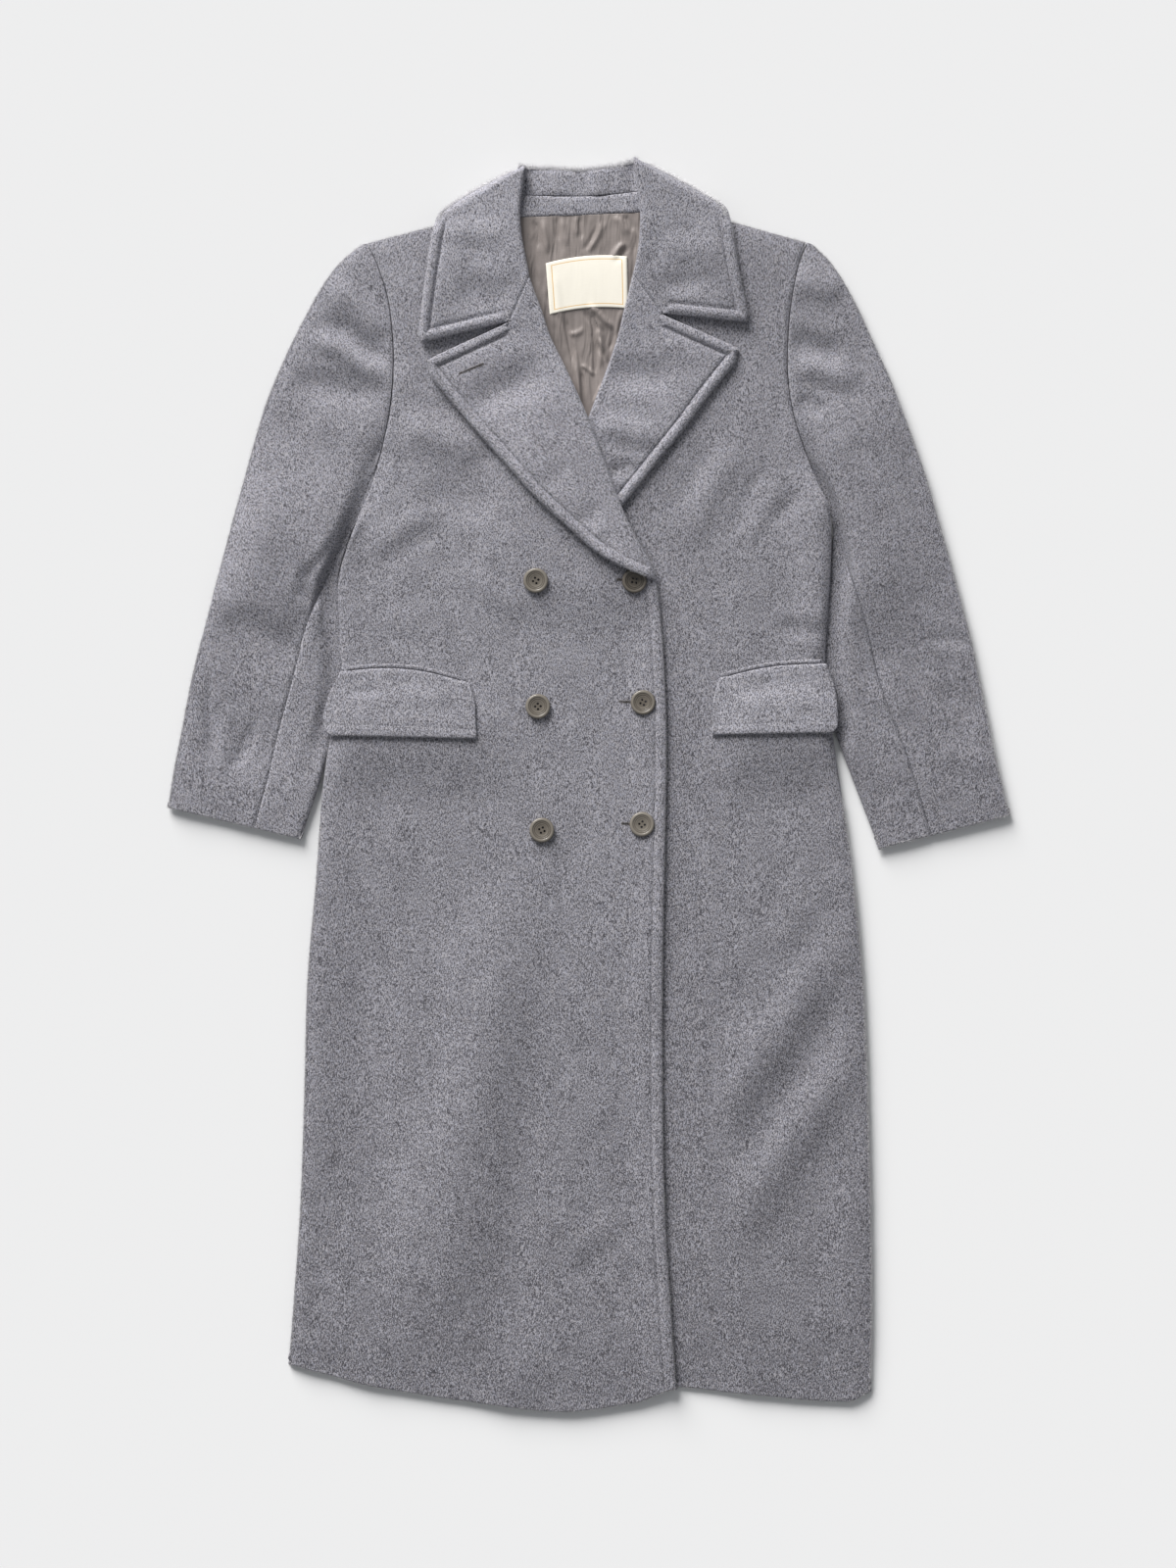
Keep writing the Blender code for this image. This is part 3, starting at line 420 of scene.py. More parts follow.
# Left front: the under one of the two fronts, cut from shoulder to hem, with its armhole, a dart below the arm
# and a side seam. Its inner edge lies hidden under the right front, and its folds run slanting to the hem.
LEFT_LOW = WOOL + SATIN + 3 * SEAM
TUCK_STEP = 30.0
TUCK_SLOPE = 60.0
ARMHOLE_DIP, ARMHOLE_SEAM = 1.5, 3.5
FRONT_ROWS, FRONT_COLUMNS, FOLD_COLUMNS = 250, 52, 10
PLAIN_EDGE, PLAIN_EDGE_COLUMNS = 14, 6
LEFT_HEM = table(Drop, (0, 0), (0.45, -1), (0.66, 6), (0.94, 12), (1, 2))
LEFT_CREASES = table(
    Crease, (284, -120, 84, -400, 0, 34, 4.2), (274, -200, 118, -424, 4, 28, -2.0),
    (292, -250, 134, -478, -8, 34, 4.2), (284, -330, 176, -508, -6, 30, -2.0), (232, -85, 150, -225, 5, 34, 2.6),
    (205, -150, 105, -262, 0, 26, -1.8), (88, 48, 292, 54, 0, 74, 7.5), (85, 76, 134, 79, 0, 14, 1.8),
    (85, 50, 137, 54, 0, 14, -1.4), (152, 355, 85, 225, 0, 24, 2.6), (126, 352, 68, 260, 3, 18, -1.6),
    (198, 325, 156, 236, 2, 12, 1.7), (184, 335, 138, 240, -2, 11, -1.5), (216, 302, 188, 260, 0, 12, -2.0),
    (228, 262, 231, 145, 1, 3.2, -1.6), (228, 350, 234, 86, 0, 26, 5.0), (186, 161, 250, 151, 0, 14, -1.5),
    (184, 178, 248, 168, 0, 15, 1.2), (214, 360, 244, 284, -2, 14, -3.0), (120, -440, 100, -610, 4, 24, 1.6),
    (202, 513, 262, 499, 2, 24, 4.0), (200, 455, 264, 436, -2, 22, -4.4), (204, 427, 278, 406, 3, 20, 4.6),
    (210, 394, 242, 376, 0, 16, -3.0), (244, 436, 310, 120, 6, 74, 9.0), (258, 178, 300, 86, 3, 20, -3.0),
    (326, 186, 368, 116, 0, 30, 1.8), (300, 128, 322, 62, 4, 16, 1.8), (350, 100, 398, 58, 5, 20, -1.8),
    (352, 36, 415, 8, 3, 20, 1.4), (345, 150, 392, 140, 2, 13, -1.8), (264, 350, 312, 318, 0, 18, -1.4),
)
# The uneven lie of the cloth, as long low waves across the whole coat
Wave = namedtuple("Wave", "length_x length_y shift height")
WAVES = table(Wave, (190, 410, 0.3, 0.35), (-130, 170, 1.9, 0.25), (75, -240, 4.1, 0.18), (60, 95, 2.7, 0.12))


def waves(x, y):
    """The waviness of all the laid cloth."""
    return sum(row.height * np.sin(2 * pi * (x / row.length_x + y / row.length_y) + row.shift) for row in WAVES)


def closing_edge(y):
    """X of the right front's edge at a height on the coat."""
    return np.interp(-y, [-row.edge_y for row in RIGHT_FRONT], [row.edge_x for row in RIGHT_FRONT])


def left_front_low(x, y):
    """Underside of the left front, which dips under the right front's edge."""
    free = ease((x - closing_edge(y) - TUCK_STEP) / TUCK_SLOPE)
    rise = creases(x, y, LEFT_CREASES) + waves(x, y)
    return lift(x, y) + LEFT_LOW + (WOOL + SLACK - LEFT_LOW) * free + rise * free


def front_points(rows, hem, low_at, edge_inset, edge_drop, edge_rise):
    """Grid of a front panel: from its inner edge, by way of distances in, to its armhole and side seam."""
    last = len(rows) - 1
    places, hem_inset, hem_drop = body_rows(last, FRONT_ROWS)
    edge_x, edge_y, side_x, side_y, roll, welt = columns_of(rows, places)
    width = np.hypot(side_x - edge_x, side_y - edge_y)
    count = len(places)
    side_steps = np.repeat(roll_steps(SIDE_ROLL, FOLD_COLUMNS)[None, ::-1], count, 0)
    start, end = edge_inset[-1], width - SIDE_ROLL
    inset = np.hstack([np.repeat(edge_inset[None, :], count, 0),
                       blend(start, end, np.linspace(0, 1, FRONT_COLUMNS)[None, 1:-1]), width - side_steps])
    share = inset / width
    drawn = CORNER_DRAW * hem_inset * (ease(1 - inset / SIDE_ROLL) - ease(1 - (width - inset) / SIDE_ROLL))
    x = blend(edge_x, side_x, share + drawn / width)
    y = blend(edge_y, side_y, share)
    y -= ease(1 - (last - places[:, None]) / HEM_FADE_ROWS) * drop_at(hem, share)
    high = low_at(x, y) + WOOL + welt * edge_rise(inset)
    side = 1 - roll * (1 - quarter((width - inset) / SIDE_ROLL))
    shoulder = quarter(places[:, None] / SHOULDER_END)
    z = blend(lift(x, y) + TUBE / 2 + SEAM / 2 + EDGE_WALL, high, np.minimum(side, shoulder))
    z -= (1 - roll) * shoulder * ARMHOLE_DIP * ease(1 - (width - inset) / ARMHOLE_SEAM)
    drops = np.r_[edge_drop, np.zeros(inset.shape[1] - len(edge_drop))][None, :]
    z -= np.minimum(np.hypot(drops, hem_drop), 2 * HEM_RADIUS) + HEM_SINK * ease(1 - last + places[:, None])
    return np.dstack([x, y + hem_inset, z])


plain_edge = np.linspace(0, PLAIN_EDGE, PLAIN_EDGE_COLUMNS)
left_front_points = front_points(LEFT_FRONT, LEFT_HEM, left_front_low, plain_edge, 0 * plain_edge, np.zeros_like)
left_front = lay_cloth("coat_left_front", left_front_points, left_front_wool)
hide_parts("front_left")

# Right front: the upper front, closing over the left one. Its edge is turned and stitched about 11 mm in, so
# that it stands up as a soft roll; it also lies over the tucked end of the left lapel.
TUCKED = 0.9
HIDDEN_EDGE_X = -85.0
LAPEL_UNDER = 6.2
FRONT_WELT, FRONT_EDGE_LIFT, FRONT_EDGE_REACH = 0.62, 3.0, 42.0
TUCK_FROM, TUCK_TO = (12.0, 345.0), (-14.0, 262.0)
TUCK_RADIUS, TUCK_FADE = 48.0, 80.0
FRONT_EDGE_RADIUS = 1.7
STITCH_INSET = 11.5
RIGHT_HEM = table(Drop, (0, 0), (0.1, 17), (0.3, 31), (0.58, 25), (0.8, 16), (0.95, 4), (1, 0))
Welt = namedtuple("Welt", "inset rise")
WELT = table(
    Welt, (0, 0), (2.2, 0.8), (5, 1.5), (8, 1.1), (10, -0.2), (STITCH_INSET, -1.5), (13, -0.5), (16, 0), (20, 0),
)
WELT_STEPS = np.array((2.6, 3.6, 4.8, 6, 7.2, 8.4, 9.4, 10.2, 10.9, STITCH_INSET, 12.1, 12.8, 13.8, 15, 17))
RIGHT_CREASES = table(
    Crease, (-92, -70, -172, -600, 14, 76, 9.0), (-58, -190, -118, -590, 8, 40, -1.2),
    (-226, -40, -232, -540, 0, 52, -3.8), (-270, -440, -277, -585, 0, 22, -1.8), (10, -140, -45, -540, 0, 58, 2.0),
    (32, -335, -22, -392, 2, 12, -1.0), (48, -425, -32, -482, 4, 14, 1.6), (52, -450, -28, -512, 4, 12, -1.0),
    (-304, 50, -70, 42, 0, 74, 7.5), (-142, 168, -112, 110, -4, 12, -1.9), (-145, 226, -60, 168, 0, 22, 2.2),
    (-232, 230, -150, 284, 3, 22, 1.5), (-224, 212, -146, 262, 3, 19, -1.3), (-200, 366, -98, 332, 4, 32, 5.0),
    (-176, 302, -90, 278, 0, 30, -2.6), (-225, 277, -232, 118, -2, 3.2, -1.6), (-205, 356, -233, 266, 2, 14, -3.0),
    (-215, 172, -165, 162, 0, 24, 1.6), (-20, 60, -28, -110, 4, 34, -1.0), (58, -120, 50, -260, 2, 22, 1.0),
    (-60, -545, -66, -640, 0, 24, 1.4), (-196, 428, -150, 385, -5, 18, 1.6), (-264, 518, -206, 450, 2, 20, 4.4),
    (-274, 480, -204, 423, 2, 17, -4.2), (-292, 459, -203, 405, 5, 17, 4.8), (-310, 412, -206, 389, 2, 24, -4.0),
    (-372, 268, -232, 240, 0, 108, 9.5), (-400, 198, -284, 168, 0, 52, 4.5), (-412, 50, -290, 36, 0, 62, -3.6),
    (-389, 114, -380, 12, -2, 10, -2.2), (-338, 66, -368, 8, 2, 12, -2.2), (-366, 84, -376, 14, 0, 11, 1.4),
    (-283, 226, -293, 180, 0, 14, -3.0), (-230, 284, -284, 200, 3, 12, 2.6), (-224, 302, -292, 204, 5, 11, -3.0),
    (-300, 362, -214, 350, 0, 30, 1.4), (-374, 176, -290, 118, 6, 22, -1.8),
)


def distance_to_line(x, y, start, end):
    """Distance from points to a straight line between two points."""
    run_x, run_y = end[0] - start[0], end[1] - start[1]
    share = ((x - start[0]) * run_x + (y - start[1]) * run_y) / (run_x ** 2 + run_y ** 2)
    share = np.clip(share, 0, 1)
    return np.hypot(x - start[0] - share * run_x, y - start[1] - share * run_y)


def right_front_low(x, y):
    """Underside of the right front: on the back at the side, over the left front and its lapel inside."""
    away = distance_to_line(x, y, TUCK_FROM, TUCK_TO)
    over_front = TUCKED * ease((x - HIDDEN_EDGE_X + TUCK_SLOPE) / TUCK_SLOPE)
    over_lapel = LAPEL_UNDER * ease(1 - (away - TUCK_RADIUS) / TUCK_FADE)
    rise = creases(x, y, RIGHT_CREASES) + waves(x, y)
    return lift(x, y) + WOOL + SLACK + over_front + over_lapel + rise


def welt_rise(inset):
    """Height of a stitched edge at a distance inside it: a soft roll, then a groove along the stitches."""
    place = np.interp(inset, [row.inset for row in WELT], range(len(WELT)))
    return rows_along([row.rise for row in WELT], place)


def closing_rise(inset):
    """Height of the closing edge, which stands away from the front below it."""
    return FRONT_WELT * welt_rise(inset) + FRONT_EDGE_LIFT * ease(1 - inset / FRONT_EDGE_REACH)


front_rim_inset, front_rim_drop = rim(FRONT_EDGE_RADIUS)
front_edge = np.r_[front_rim_inset, WELT_STEPS]
right_front_points = front_points(RIGHT_FRONT, RIGHT_HEM, right_front_low, front_edge, front_rim_drop, closing_rise)
right_front = lay_cloth("coat_right_front", right_front_points, body_wool)
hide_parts("front_right")

# Sleeves: each of two pieces, the upper one from the outer fold to a seam near the inner edge, the under one
# flat on the floor and turned up round the inner edge to that seam. Drag folds cross the cap and the elbow.
Sleeve = namedtuple("Sleeve", "outer_x outer_y inner_x inner_y height seam")
RIGHT_SLEEVE_CAP = ((-231, 550), (-255, 530), (-275, 502), (-295, 465), (-311, 432),
                    (-329, 388), (-342, 345), (-353, 305), (-364, 265), (-379, 208))
LEFT_SLEEVE_CAP = ((228, 550), (249, 528), (271, 491), (290, 450), (306, 415),
                   (320, 379), (333, 344), (345, 308), (355, 273), (367, 232))
RIGHT_SLEEVE_ARM = table(
    Sleeve, (-391, 162, -252, 160, 7.4, 0.74), (-401, 125, -250, 120, 7.2, 0.68), (-409, 88, -253.7, 82, 7.2, 0.65),
    (-415, 55, -263.5, 43, 7.6, 0.64), (-423, 15, -275.5, -3, 8.2, 0.645), (-429, -24, -294, -56, 6.8, 0.65),
)
LEFT_SLEEVE_ARM = table(
    Sleeve, (378, 191, 243, 190, 7.4, 0.77), (389, 150, 240.2, 145, 7.2, 0.69), (397, 112, 239.2, 110, 7.2, 0.65),
    (406, 70, 245.5, 70, 7.4, 0.61), (415, 25, 261, 25, 8.0, 0.58), (429, -32, 296, -66, 6.8, 0.60),
)
CAP_TOP_HEIGHT = 5.4
LAST_CAP_SEAM = 0.9
CAP_ROLL = 0.4
INNER_ROLL = 9.0
ARMHOLE_BUNCH = 3.0
CUFF_RADIUS = 1.3
CUFF_ROW = 50.0
SLEEVE_ROWS = 170
UPPER_COLUMNS, FLAT_COLUMNS, ROUND_COLUMNS, TOP_COLUMNS = 34, 14, 16, 14
SLEEVE_SEAM_DIP, SLEEVE_SEAM, SLEEVE_SEAM_STEPS = 0.8, 3.0, np.linspace(2, 0, 5)
SEWN_HEIGHT = 1.1 * SHELL
FOLD_FADE, CUFF_TURN, DENT_REACH = 2.0, 3.0, 2.0
VALLEY, VALLEY_WIDTH, VALLEY_TOP_Y, VALLEY_END_Y, VALLEY_FADE = 5.2, 20.0, 375.0, 0.0, 70.0
RIGHT_DENTS = table(
    Crease, (-300, 428, -232, 398, 3, 20, 1.8), (-336, 318, -252, 338, -4, 24, 2.2),
    (-372, 196, -282, 222, 4, 20, 2.4), (-396, 128, -288, 96, -5, 22, 2.2), (-402, 62, -318, 26, 3, 18, 1.7),
)
LEFT_DENTS = table(
    Crease, (232, 448, 288, 412, 4, 18, 1.7), (246, 352, 330, 300, -3, 22, 2.2), (270, 226, 366, 204, 3, 24, 2.3),
    (276, 122, 382, 148, -4, 20, 2.0), (298, 20, 404, 62, 5, 22, 1.8),
)


def sleeve_sections(cap, arm, fronts, side):
    """A sleeve's rows: the cap meets the front's armhole, the arm runs on to the cuff."""
    rows = []
    for index, (outer_x, outer_y) in enumerate(cap):
        armhole = fronts[index]
        height = CAP_TOP_HEIGHT if index == 0 else TUBE
        seam = LAST_CAP_SEAM if index == len(cap) - 1 else 1
        rows.append(Sleeve(outer_x, outer_y, armhole.side_x + side * 2 * SEAM, armhole.side_y, height, seam))
    return rows + list(arm)


def sleeve_loft(sections):
    """Smooth loft through sleeve sections, turned in round the cuff; also how far in each cuff row is."""
    cuff_inset, cuff_drop = rim(CUFF_RADIUS)
    last = len(sections) - 1
    places = np.r_[np.linspace(0, last, SLEEVE_ROWS)[:-1], last - cuff_inset[::-1] / CUFF_ROW]
    drops = np.r_[np.zeros(SLEEVE_ROWS - 1), cuff_drop[::-1]]
    return rows_along(sections, places), drops[:, None]


def sleeve_section(row, profile):
    """Points of one section from distances in from the outer fold and heights."""
    start, end = np.array((row.outer_x, row.outer_y)), np.array((row.inner_x, row.inner_y))
    inset, level = profile
    spots = start + (end - start) * inset[:, None] / np.linalg.norm(end - start)
    return np.column_stack([spots, level])


def valley_drop(row, width, inset):
    """How far a sleeve is pressed down where it meets the body, from the underarm to the pocket."""
    depth = VALLEY * ease((VALLEY_TOP_Y - row.inner_y) / VALLEY_FADE)
    depth *= ease((row.inner_y - VALLEY_END_Y) / VALLEY_FADE)
    edge = width - (INNER_ROLL if row.seam < 1 else 0)
    return depth * ease(1 - np.maximum(edge - inset, 0) / VALLEY_WIDTH)


def upper_profile(row):
    """The upper sleeve: up round the outer fold, then across to the seam."""
    width = np.hypot(row.inner_x - row.outer_x, row.inner_y - row.outer_y)
    roll = min(SIDE_ROLL, CAP_ROLL * width)
    end = row.seam * width - SEAM
    across = np.r_[np.linspace(roll, end - SLEEVE_SEAM, UPPER_COLUMNS)[1:], end - SLEEVE_SEAM_STEPS]
    inset = np.r_[roll_steps(roll, FOLD_COLUMNS), across]
    level = blend(row.height / 2 + SEAM / 2 + EDGE_WALL, row.height, quarter(inset / roll))
    level -= SLEEVE_SEAM_DIP * ease(1 - (end - inset) / SLEEVE_SEAM) + valley_drop(row, width, inset)
    return inset, level


def under_profile(row):
    """The under sleeve: flat below, then up round the inner edge and back across to the seam."""
    width = np.hypot(row.inner_x - row.outer_x, row.inner_y - row.outer_y)
    roll = min(SIDE_ROLL, CAP_ROLL * width)
    fold = roll_steps(roll, FOLD_COLUMNS)
    fold_level = blend(row.height / 2 - SEAM / 2 - EDGE_WALL, 0, quarter(fold / roll))
    turned = row.seam < 1
    flat_end = width - (INNER_ROLL if turned else ARMHOLE_BUNCH)
    flat = np.linspace(roll, flat_end, FLAT_COLUMNS)[1:]
    if not turned:
        bunch = np.linspace(flat_end, width, ROUND_COLUMNS + TOP_COLUMNS + 1)[1:]
        inset = np.r_[fold, flat, bunch]
        return inset, np.r_[fold_level, np.zeros(len(flat)), SEWN_HEIGHT * ease(np.linspace(0, 1, len(bunch)))]
    angle = np.linspace(-pi / 2, pi / 2, ROUND_COLUMNS + 1)[1:]
    seam = min(row.seam * width, flat_end - 2 * SEAM)
    top = np.linspace(flat_end, seam, TOP_COLUMNS + 1)[1:]
    top_level = row.height - SLEEVE_SEAM_DIP * ease(1 - (top - seam) / SLEEVE_SEAM) - valley_drop(row, width, top)
    edge_height = row.height - valley_drop(row, width, flat_end)
    inset = np.r_[fold, flat, flat_end + INNER_ROLL * np.cos(angle), top]
    return inset, np.r_[fold_level, np.zeros(len(flat)), edge_height / 2 * (1 + np.sin(angle)), top_level]


def folds_above(points, folds):
    """Height of the folds and waves on the upper side of a sleeve."""
    x, y, z = points[:, :, 0], points[:, :, 1], points[:, :, 2]
    return (creases(x, y, folds) + waves(x, y)) * ease((z - TUBE / 2) / FOLD_FADE)


sleeve_edges = {}
# Each sleeve's tone is painted light or shade: the right sleeve a little paler, the left one darker, as light falls
# from the top left.
for hand, side, cap, arm, fronts, folds, dents, lean, tone in (
        ("right", -1, RIGHT_SLEEVE_CAP, RIGHT_SLEEVE_ARM, RIGHT_FRONT, RIGHT_CREASES, RIGHT_DENTS, -14, 1.06),
        ("left", 1, LEFT_SLEEVE_CAP, LEFT_SLEEVE_ARM, LEFT_FRONT, LEFT_CREASES, LEFT_DENTS, 14, 0.92)):
    sleeve_wool = wool_cloth(f"{hand} sleeve wool", lean, tone)
    sections = sleeve_sections(cap, arm, fronts, side)

    points, drops = sleeve_loft([sleeve_section(row, upper_profile(row)) for row in sections])
    points[:, :, 2] += folds_above(points, folds) - drops
    sleeve_edges[hand] = points
    upper = lay_cloth(f"sleeve_{hand}_upper", points, sleeve_wool)
    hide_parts(f"sleeve_upper_{hand}")

    points, drops = sleeve_loft([sleeve_section(row, under_profile(row)) for row in sections])
    x, y, z = points[:, :, 0], points[:, :, 1], points[:, :, 2]
    z += folds_above(points, folds) + drops * (1 - 2 * ease((z - CUFF_TURN) / CUFF_TURN))
    z[:] = np.maximum(z, 0) + creases(x, y, dents) * ease(1 - z / DENT_REACH)
    sewn = z[:SLEEVE_ROWS * len(cap) // len(sections), FOLD_COLUMNS + FLAT_COLUMNS - 2:]
    np.maximum(sewn, SEWN_HEIGHT, out=sewn)
    sleeve_edges[f"{hand} under"] = points
    under = lay_cloth(f"sleeve_{hand}_under", points, sleeve_wool, outward=-1, at=0.3)
    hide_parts(f"sleeve_under_{hand}")

# Collar, under part: the fall folded down behind the neck lies flat under the back; the stand rises inside it
# to the fold at the top. Both are wool on a stiff interlining, with soft rolled folds.
CREASE_LEVEL = 7.2
FALL_TOP_ROLL = 0.5
FALL_DIP = 3.5
FALL_SIDE, FALL_ROWS, FALL_COLUMNS, FALL_SIDE_COLUMNS = 0.13, 12, 40, 12
STAND_ROLL, STAND_TOP, STAND_FOOT, STAND_FOOT_DIP = 7.0, 0.26, 0.14, 0.7
STAND_ROWS, STAND_COLUMNS, STAND_TOP_COLUMNS = 20, 16, 12
STAND_END, STAND_END_ROWS = 5.0, 0.3
Span = namedtuple("Span", "start_x start_y end_x end_y roll", defaults=(0,))
COLLAR_FALL = table(
    Span, (-70, 623, 50, 629, 1), (-102, 608, 84, 615, 1), (-128, 593, 114, 598, 1), (-147.5, 579, 134.5, 583, 0.8),
    (-154, 564, 138, 568), (-125, 552, 108, 554),
)
COLLAR_STAND = table(
    Span, (-72, 629, -74, 600), (-40, 627, -42, 599), (-8, 626, -8, 598.5), (22, 629, 20, 600), (49, 636, 54, 604),
)
STAND_CREASES = table(
    Crease, (-64, 640, -62, 590, 0, 17, -2.6), (-34, 640, -30, 590, 0, 20, 1.2), (-8, 640, -8, 590, 0, 14, -0.8),
    (12, 640, 10, 590, 0, 18, 1.4), (44, 645, 47, 595, 0, 16, -2.6),
)


def span_points(rows, per_row, shares):
    """Grid between the two ends of each row of a table."""
    places = np.linspace(0, len(rows) - 1, per_row * (len(rows) - 1) + 1)
    start_x, start_y, end_x, end_y, roll = columns_of(rows, places)
    width = np.hypot(end_x - start_x, end_y - start_y)
    return blend(start_x, end_x, shares), blend(start_y, end_y, shares), roll, width, places[:, None]


# The collar's wool is a paler copy: its tone is a painted light on the collar, stand and neck facing.
collar_wool = wool_cloth("collar wool", 0, 1.12)
fall_side = np.linspace(0, FALL_SIDE, FALL_SIDE_COLUMNS)[:-1]
shares = np.r_[fall_side, np.linspace(FALL_SIDE, 1 - FALL_SIDE, FALL_COLUMNS), 1 - fall_side[::-1]][None, :]
x, y, roll, width, places = span_points(COLLAR_FALL, FALL_ROWS, shares)
level = blend(CREASE_LEVEL - SEAM / 2 - EDGE_WALL, 0, 1 - roll * (1 - quarter(
    np.minimum(shares, 1 - shares) * width / SIDE_ROLL)))
level = np.maximum(level, (FACED - EDGE_WALL) * (1 - quarter(places / FALL_TOP_ROLL)))
y = y - FALL_DIP * ease(1 - places) * (1 - (2 * shares - 1) ** 2)
fall = lay_cloth("collar_fall_under", np.dstack([x, y, level]), collar_wool, outward=-1)
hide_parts("collar_fall")

shares = np.r_[roll_steps(STAND_TOP, STAND_TOP_COLUMNS), np.linspace(STAND_TOP, 1, STAND_COLUMNS)[1:]][None, :]
x, y, roll, width, places = span_points(COLLAR_STAND, STAND_ROWS, shares)
rolled = quarter(shares * width / STAND_ROLL)
level = COLLAR_LIFT + blend(EDGE_WALL, FACED, rolled) + creases(x, y, STAND_CREASES) * rolled
level -= STAND_FOOT_DIP * ease((shares - 1 + STAND_FOOT) / STAND_FOOT)
to_end = np.minimum(places, len(COLLAR_STAND) - 1 - places)
stand_points = np.dstack([x, y, level + STAND_END * ease(1 - to_end / STAND_END_ROWS)])
stand = lay_cloth("collar_stand_inside", stand_points, collar_wool)
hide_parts("collar_stand")

# Neck facing: a narrow wool strip sewn below the collar stand, inside the back of the neck, with the lining
# sewn to its lower edge.
NECK_FACING = table(
    Span, (-73.5, 599.7, -71.5, 577), (-42, 598.7, -45, 578), (-8, 598.2, -8, 579), (20, 599.7, 25, 581),
    (54, 603.7, 54.5, 582),
)
FACING_CREASES = table(
    Crease, (-58, 602, -56, 570, 0, 14, -0.7), (-20, 602, -20, 570, 0, 16, 0.5), (15, 602, 18, 570, 0, 12, -0.5),
    (42, 604, 44, 570, 0, 12, 0.5),
)
FACING_THICK, FACING_ROWS, FACING_COLUMNS = 1.2, 16, 20
FACING_TOP_DIP, FACING_TOP_SEAM, FACING_FOOT_DIP, FACING_FOOT_SEAM = 1.0, 3.0, 0.9, 2.5
shares = np.linspace(0, 1, FACING_COLUMNS)[None, :]
x, y, _, width, _ = span_points(NECK_FACING, FACING_ROWS, shares)
level = lift(x, y) + WOOL + SEAM + WOOL + creases(x, y, FACING_CREASES)
level -= FACING_TOP_DIP * ease(1 - shares * width / FACING_TOP_SEAM)
level -= FACING_FOOT_DIP * ease(1 - (1 - shares) * width / FACING_FOOT_SEAM)
facing = lay_cloth("neck_facing_strip", np.dstack([x, y, level]), collar_wool, thickness=FACING_THICK)
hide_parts("neck_facing")

# Lining: taupe satin showing in the neck opening down to the point of the lapels. It is cut loose, so it lies
# in sharp little drag folds that catch the light.
LINING = table(
    Span, (-71.5, 576.8, 54.5, 581.8), (-74, 540, 58, 544), (-66, 505, 54, 510), (-54, 465, 46, 470),
    (-34, 420, 28, 424), (-16, 385, 14, 388), (-10, 358, 8, 360),
)
LINING_THICK, LINING_ROWS, LINING_COLUMNS = 0.4, 36, 92
SATIN_COLOUR, SATIN_SHADE = (0.30, 0.264, 0.252), (0.21, 0.182, 0.172)
LINING_CREASES = table(
    Crease, (15, 574, -2, 540, 1, 5.0, 2.6), (10, 570, -6, 541, 1, 4.5, -1.8), (37, 553, 22, 532, -1, 5.0, 2.4),
    (41, 548, 28, 529, -1, 4.5, -1.8), (26, 580, 40, 558, 1, 6.0, 1.8), (34, 580, 46, 562, 1, 5.0, -1.4),
    (-56, 576, -51, 542, 1, 5.5, -1.8), (-47, 577, -42, 538, 0, 5.0, 1.8), (-28, 578, -23, 546, 0, 5.5, 1.7),
    (-34, 578, -32, 552, 0, 4.5, -1.2), (-10, 580, -7, 553, 0, 4.0, -1.6), (-14, 580, -12, 556, 0, 4.0, 1.2),
    (3, 486, 6, 410, 2, 4.2, -3.0), (9, 482, 11, 420, 2, 4.8, 2.6), (-2, 490, 25, 462, 1, 4.8, 3.2),
    (-6, 484, 16, 458, -1, 4.4, -2.6), (2, 460, 16, 430, 1, 3.8, -2.4), (8, 457, 20, 428, 1, 3.8, 2.4),
    (-9, 428, 7, 415, 1, 3.6, 1.5), (-8, 428, -4, 372, 0, 3.8, -2.4), (-16, 448, -9, 380, 1, 4.4, 2.6),
    (-24, 460, -4, 466, -4, 5.0, 1.3), (-37, 524, -30, 468, 2, 6.0, 1.8), (-60, 562, -56, 498, 2, 6.0, -1.8),
    (46, 562, 44, 503, 0, 5.0, -1.6), (15, 410, 4, 386, 0, 3.4, 1.4), (-24, 480, -13, 422, -1, 4.8, -2.6),
    (26, 470, 20, 440, 1, 4.0, -1.4), (-44, 498, -34, 462, 0, 4.4, 1.4), (34, 486, 26, 456, 0, 4.0, 1.4),
)


def satin_cloth(name, colour, shade, roughness, thread, drag):
    """Smooth satin: a fine crosswise thread, a little cloudiness, small drag folds and a soft gloss."""
    material, tree, shader = new_material(name, Specular_IOR_Level=0.35, Sheen_Weight=0.15)
    place = tree.nodes.new("ShaderNodeTexCoord").outputs["Object"]
    crosswise = linked(tree, "ShaderNodeMapping", Vector=place, Scale=(0.12, 1, 1))
    threads = linked(tree, "ShaderNodeTexNoise", Vector=crosswise.outputs[0], Scale=thread, Detail=2.0).outputs[0]
    cloudy = linked(tree, "ShaderNodeTexNoise", Vector=place, Scale=60.0, Detail=2.0).outputs[0]
    tone = weighed(tree, -0.05, (threads, 0.4), (cloudy, 0.7))
    feed(tree, shader.inputs["Base Color"], colours_mixed(tree, tone, tint(shade), tint(colour)))
    feed(tree, shader.inputs["Roughness"], weighed(tree, roughness - 0.06, (cloudy, 0.12)))
    lengthwise = linked(tree, "ShaderNodeMapping", Vector=place, Scale=(1, 0.22, 1), Rotation=(0, 0, radians(6)))
    pulls = linked(tree, "ShaderNodeTexNoise", Vector=lengthwise.outputs[0], Scale=95.0, Detail=2.0, Distortion=0.4)
    pulled = linked(tree, "ShaderNodeBump", Height=pulls.outputs[0], Strength=drag, Distance=0.006)
    weave = linked(tree, "ShaderNodeBump", Height=threads, Strength=0.25, Distance=0.0002, Normal=pulled.outputs[0])
    feed(tree, shader.inputs["Normal"], weave.outputs[0])
    return material


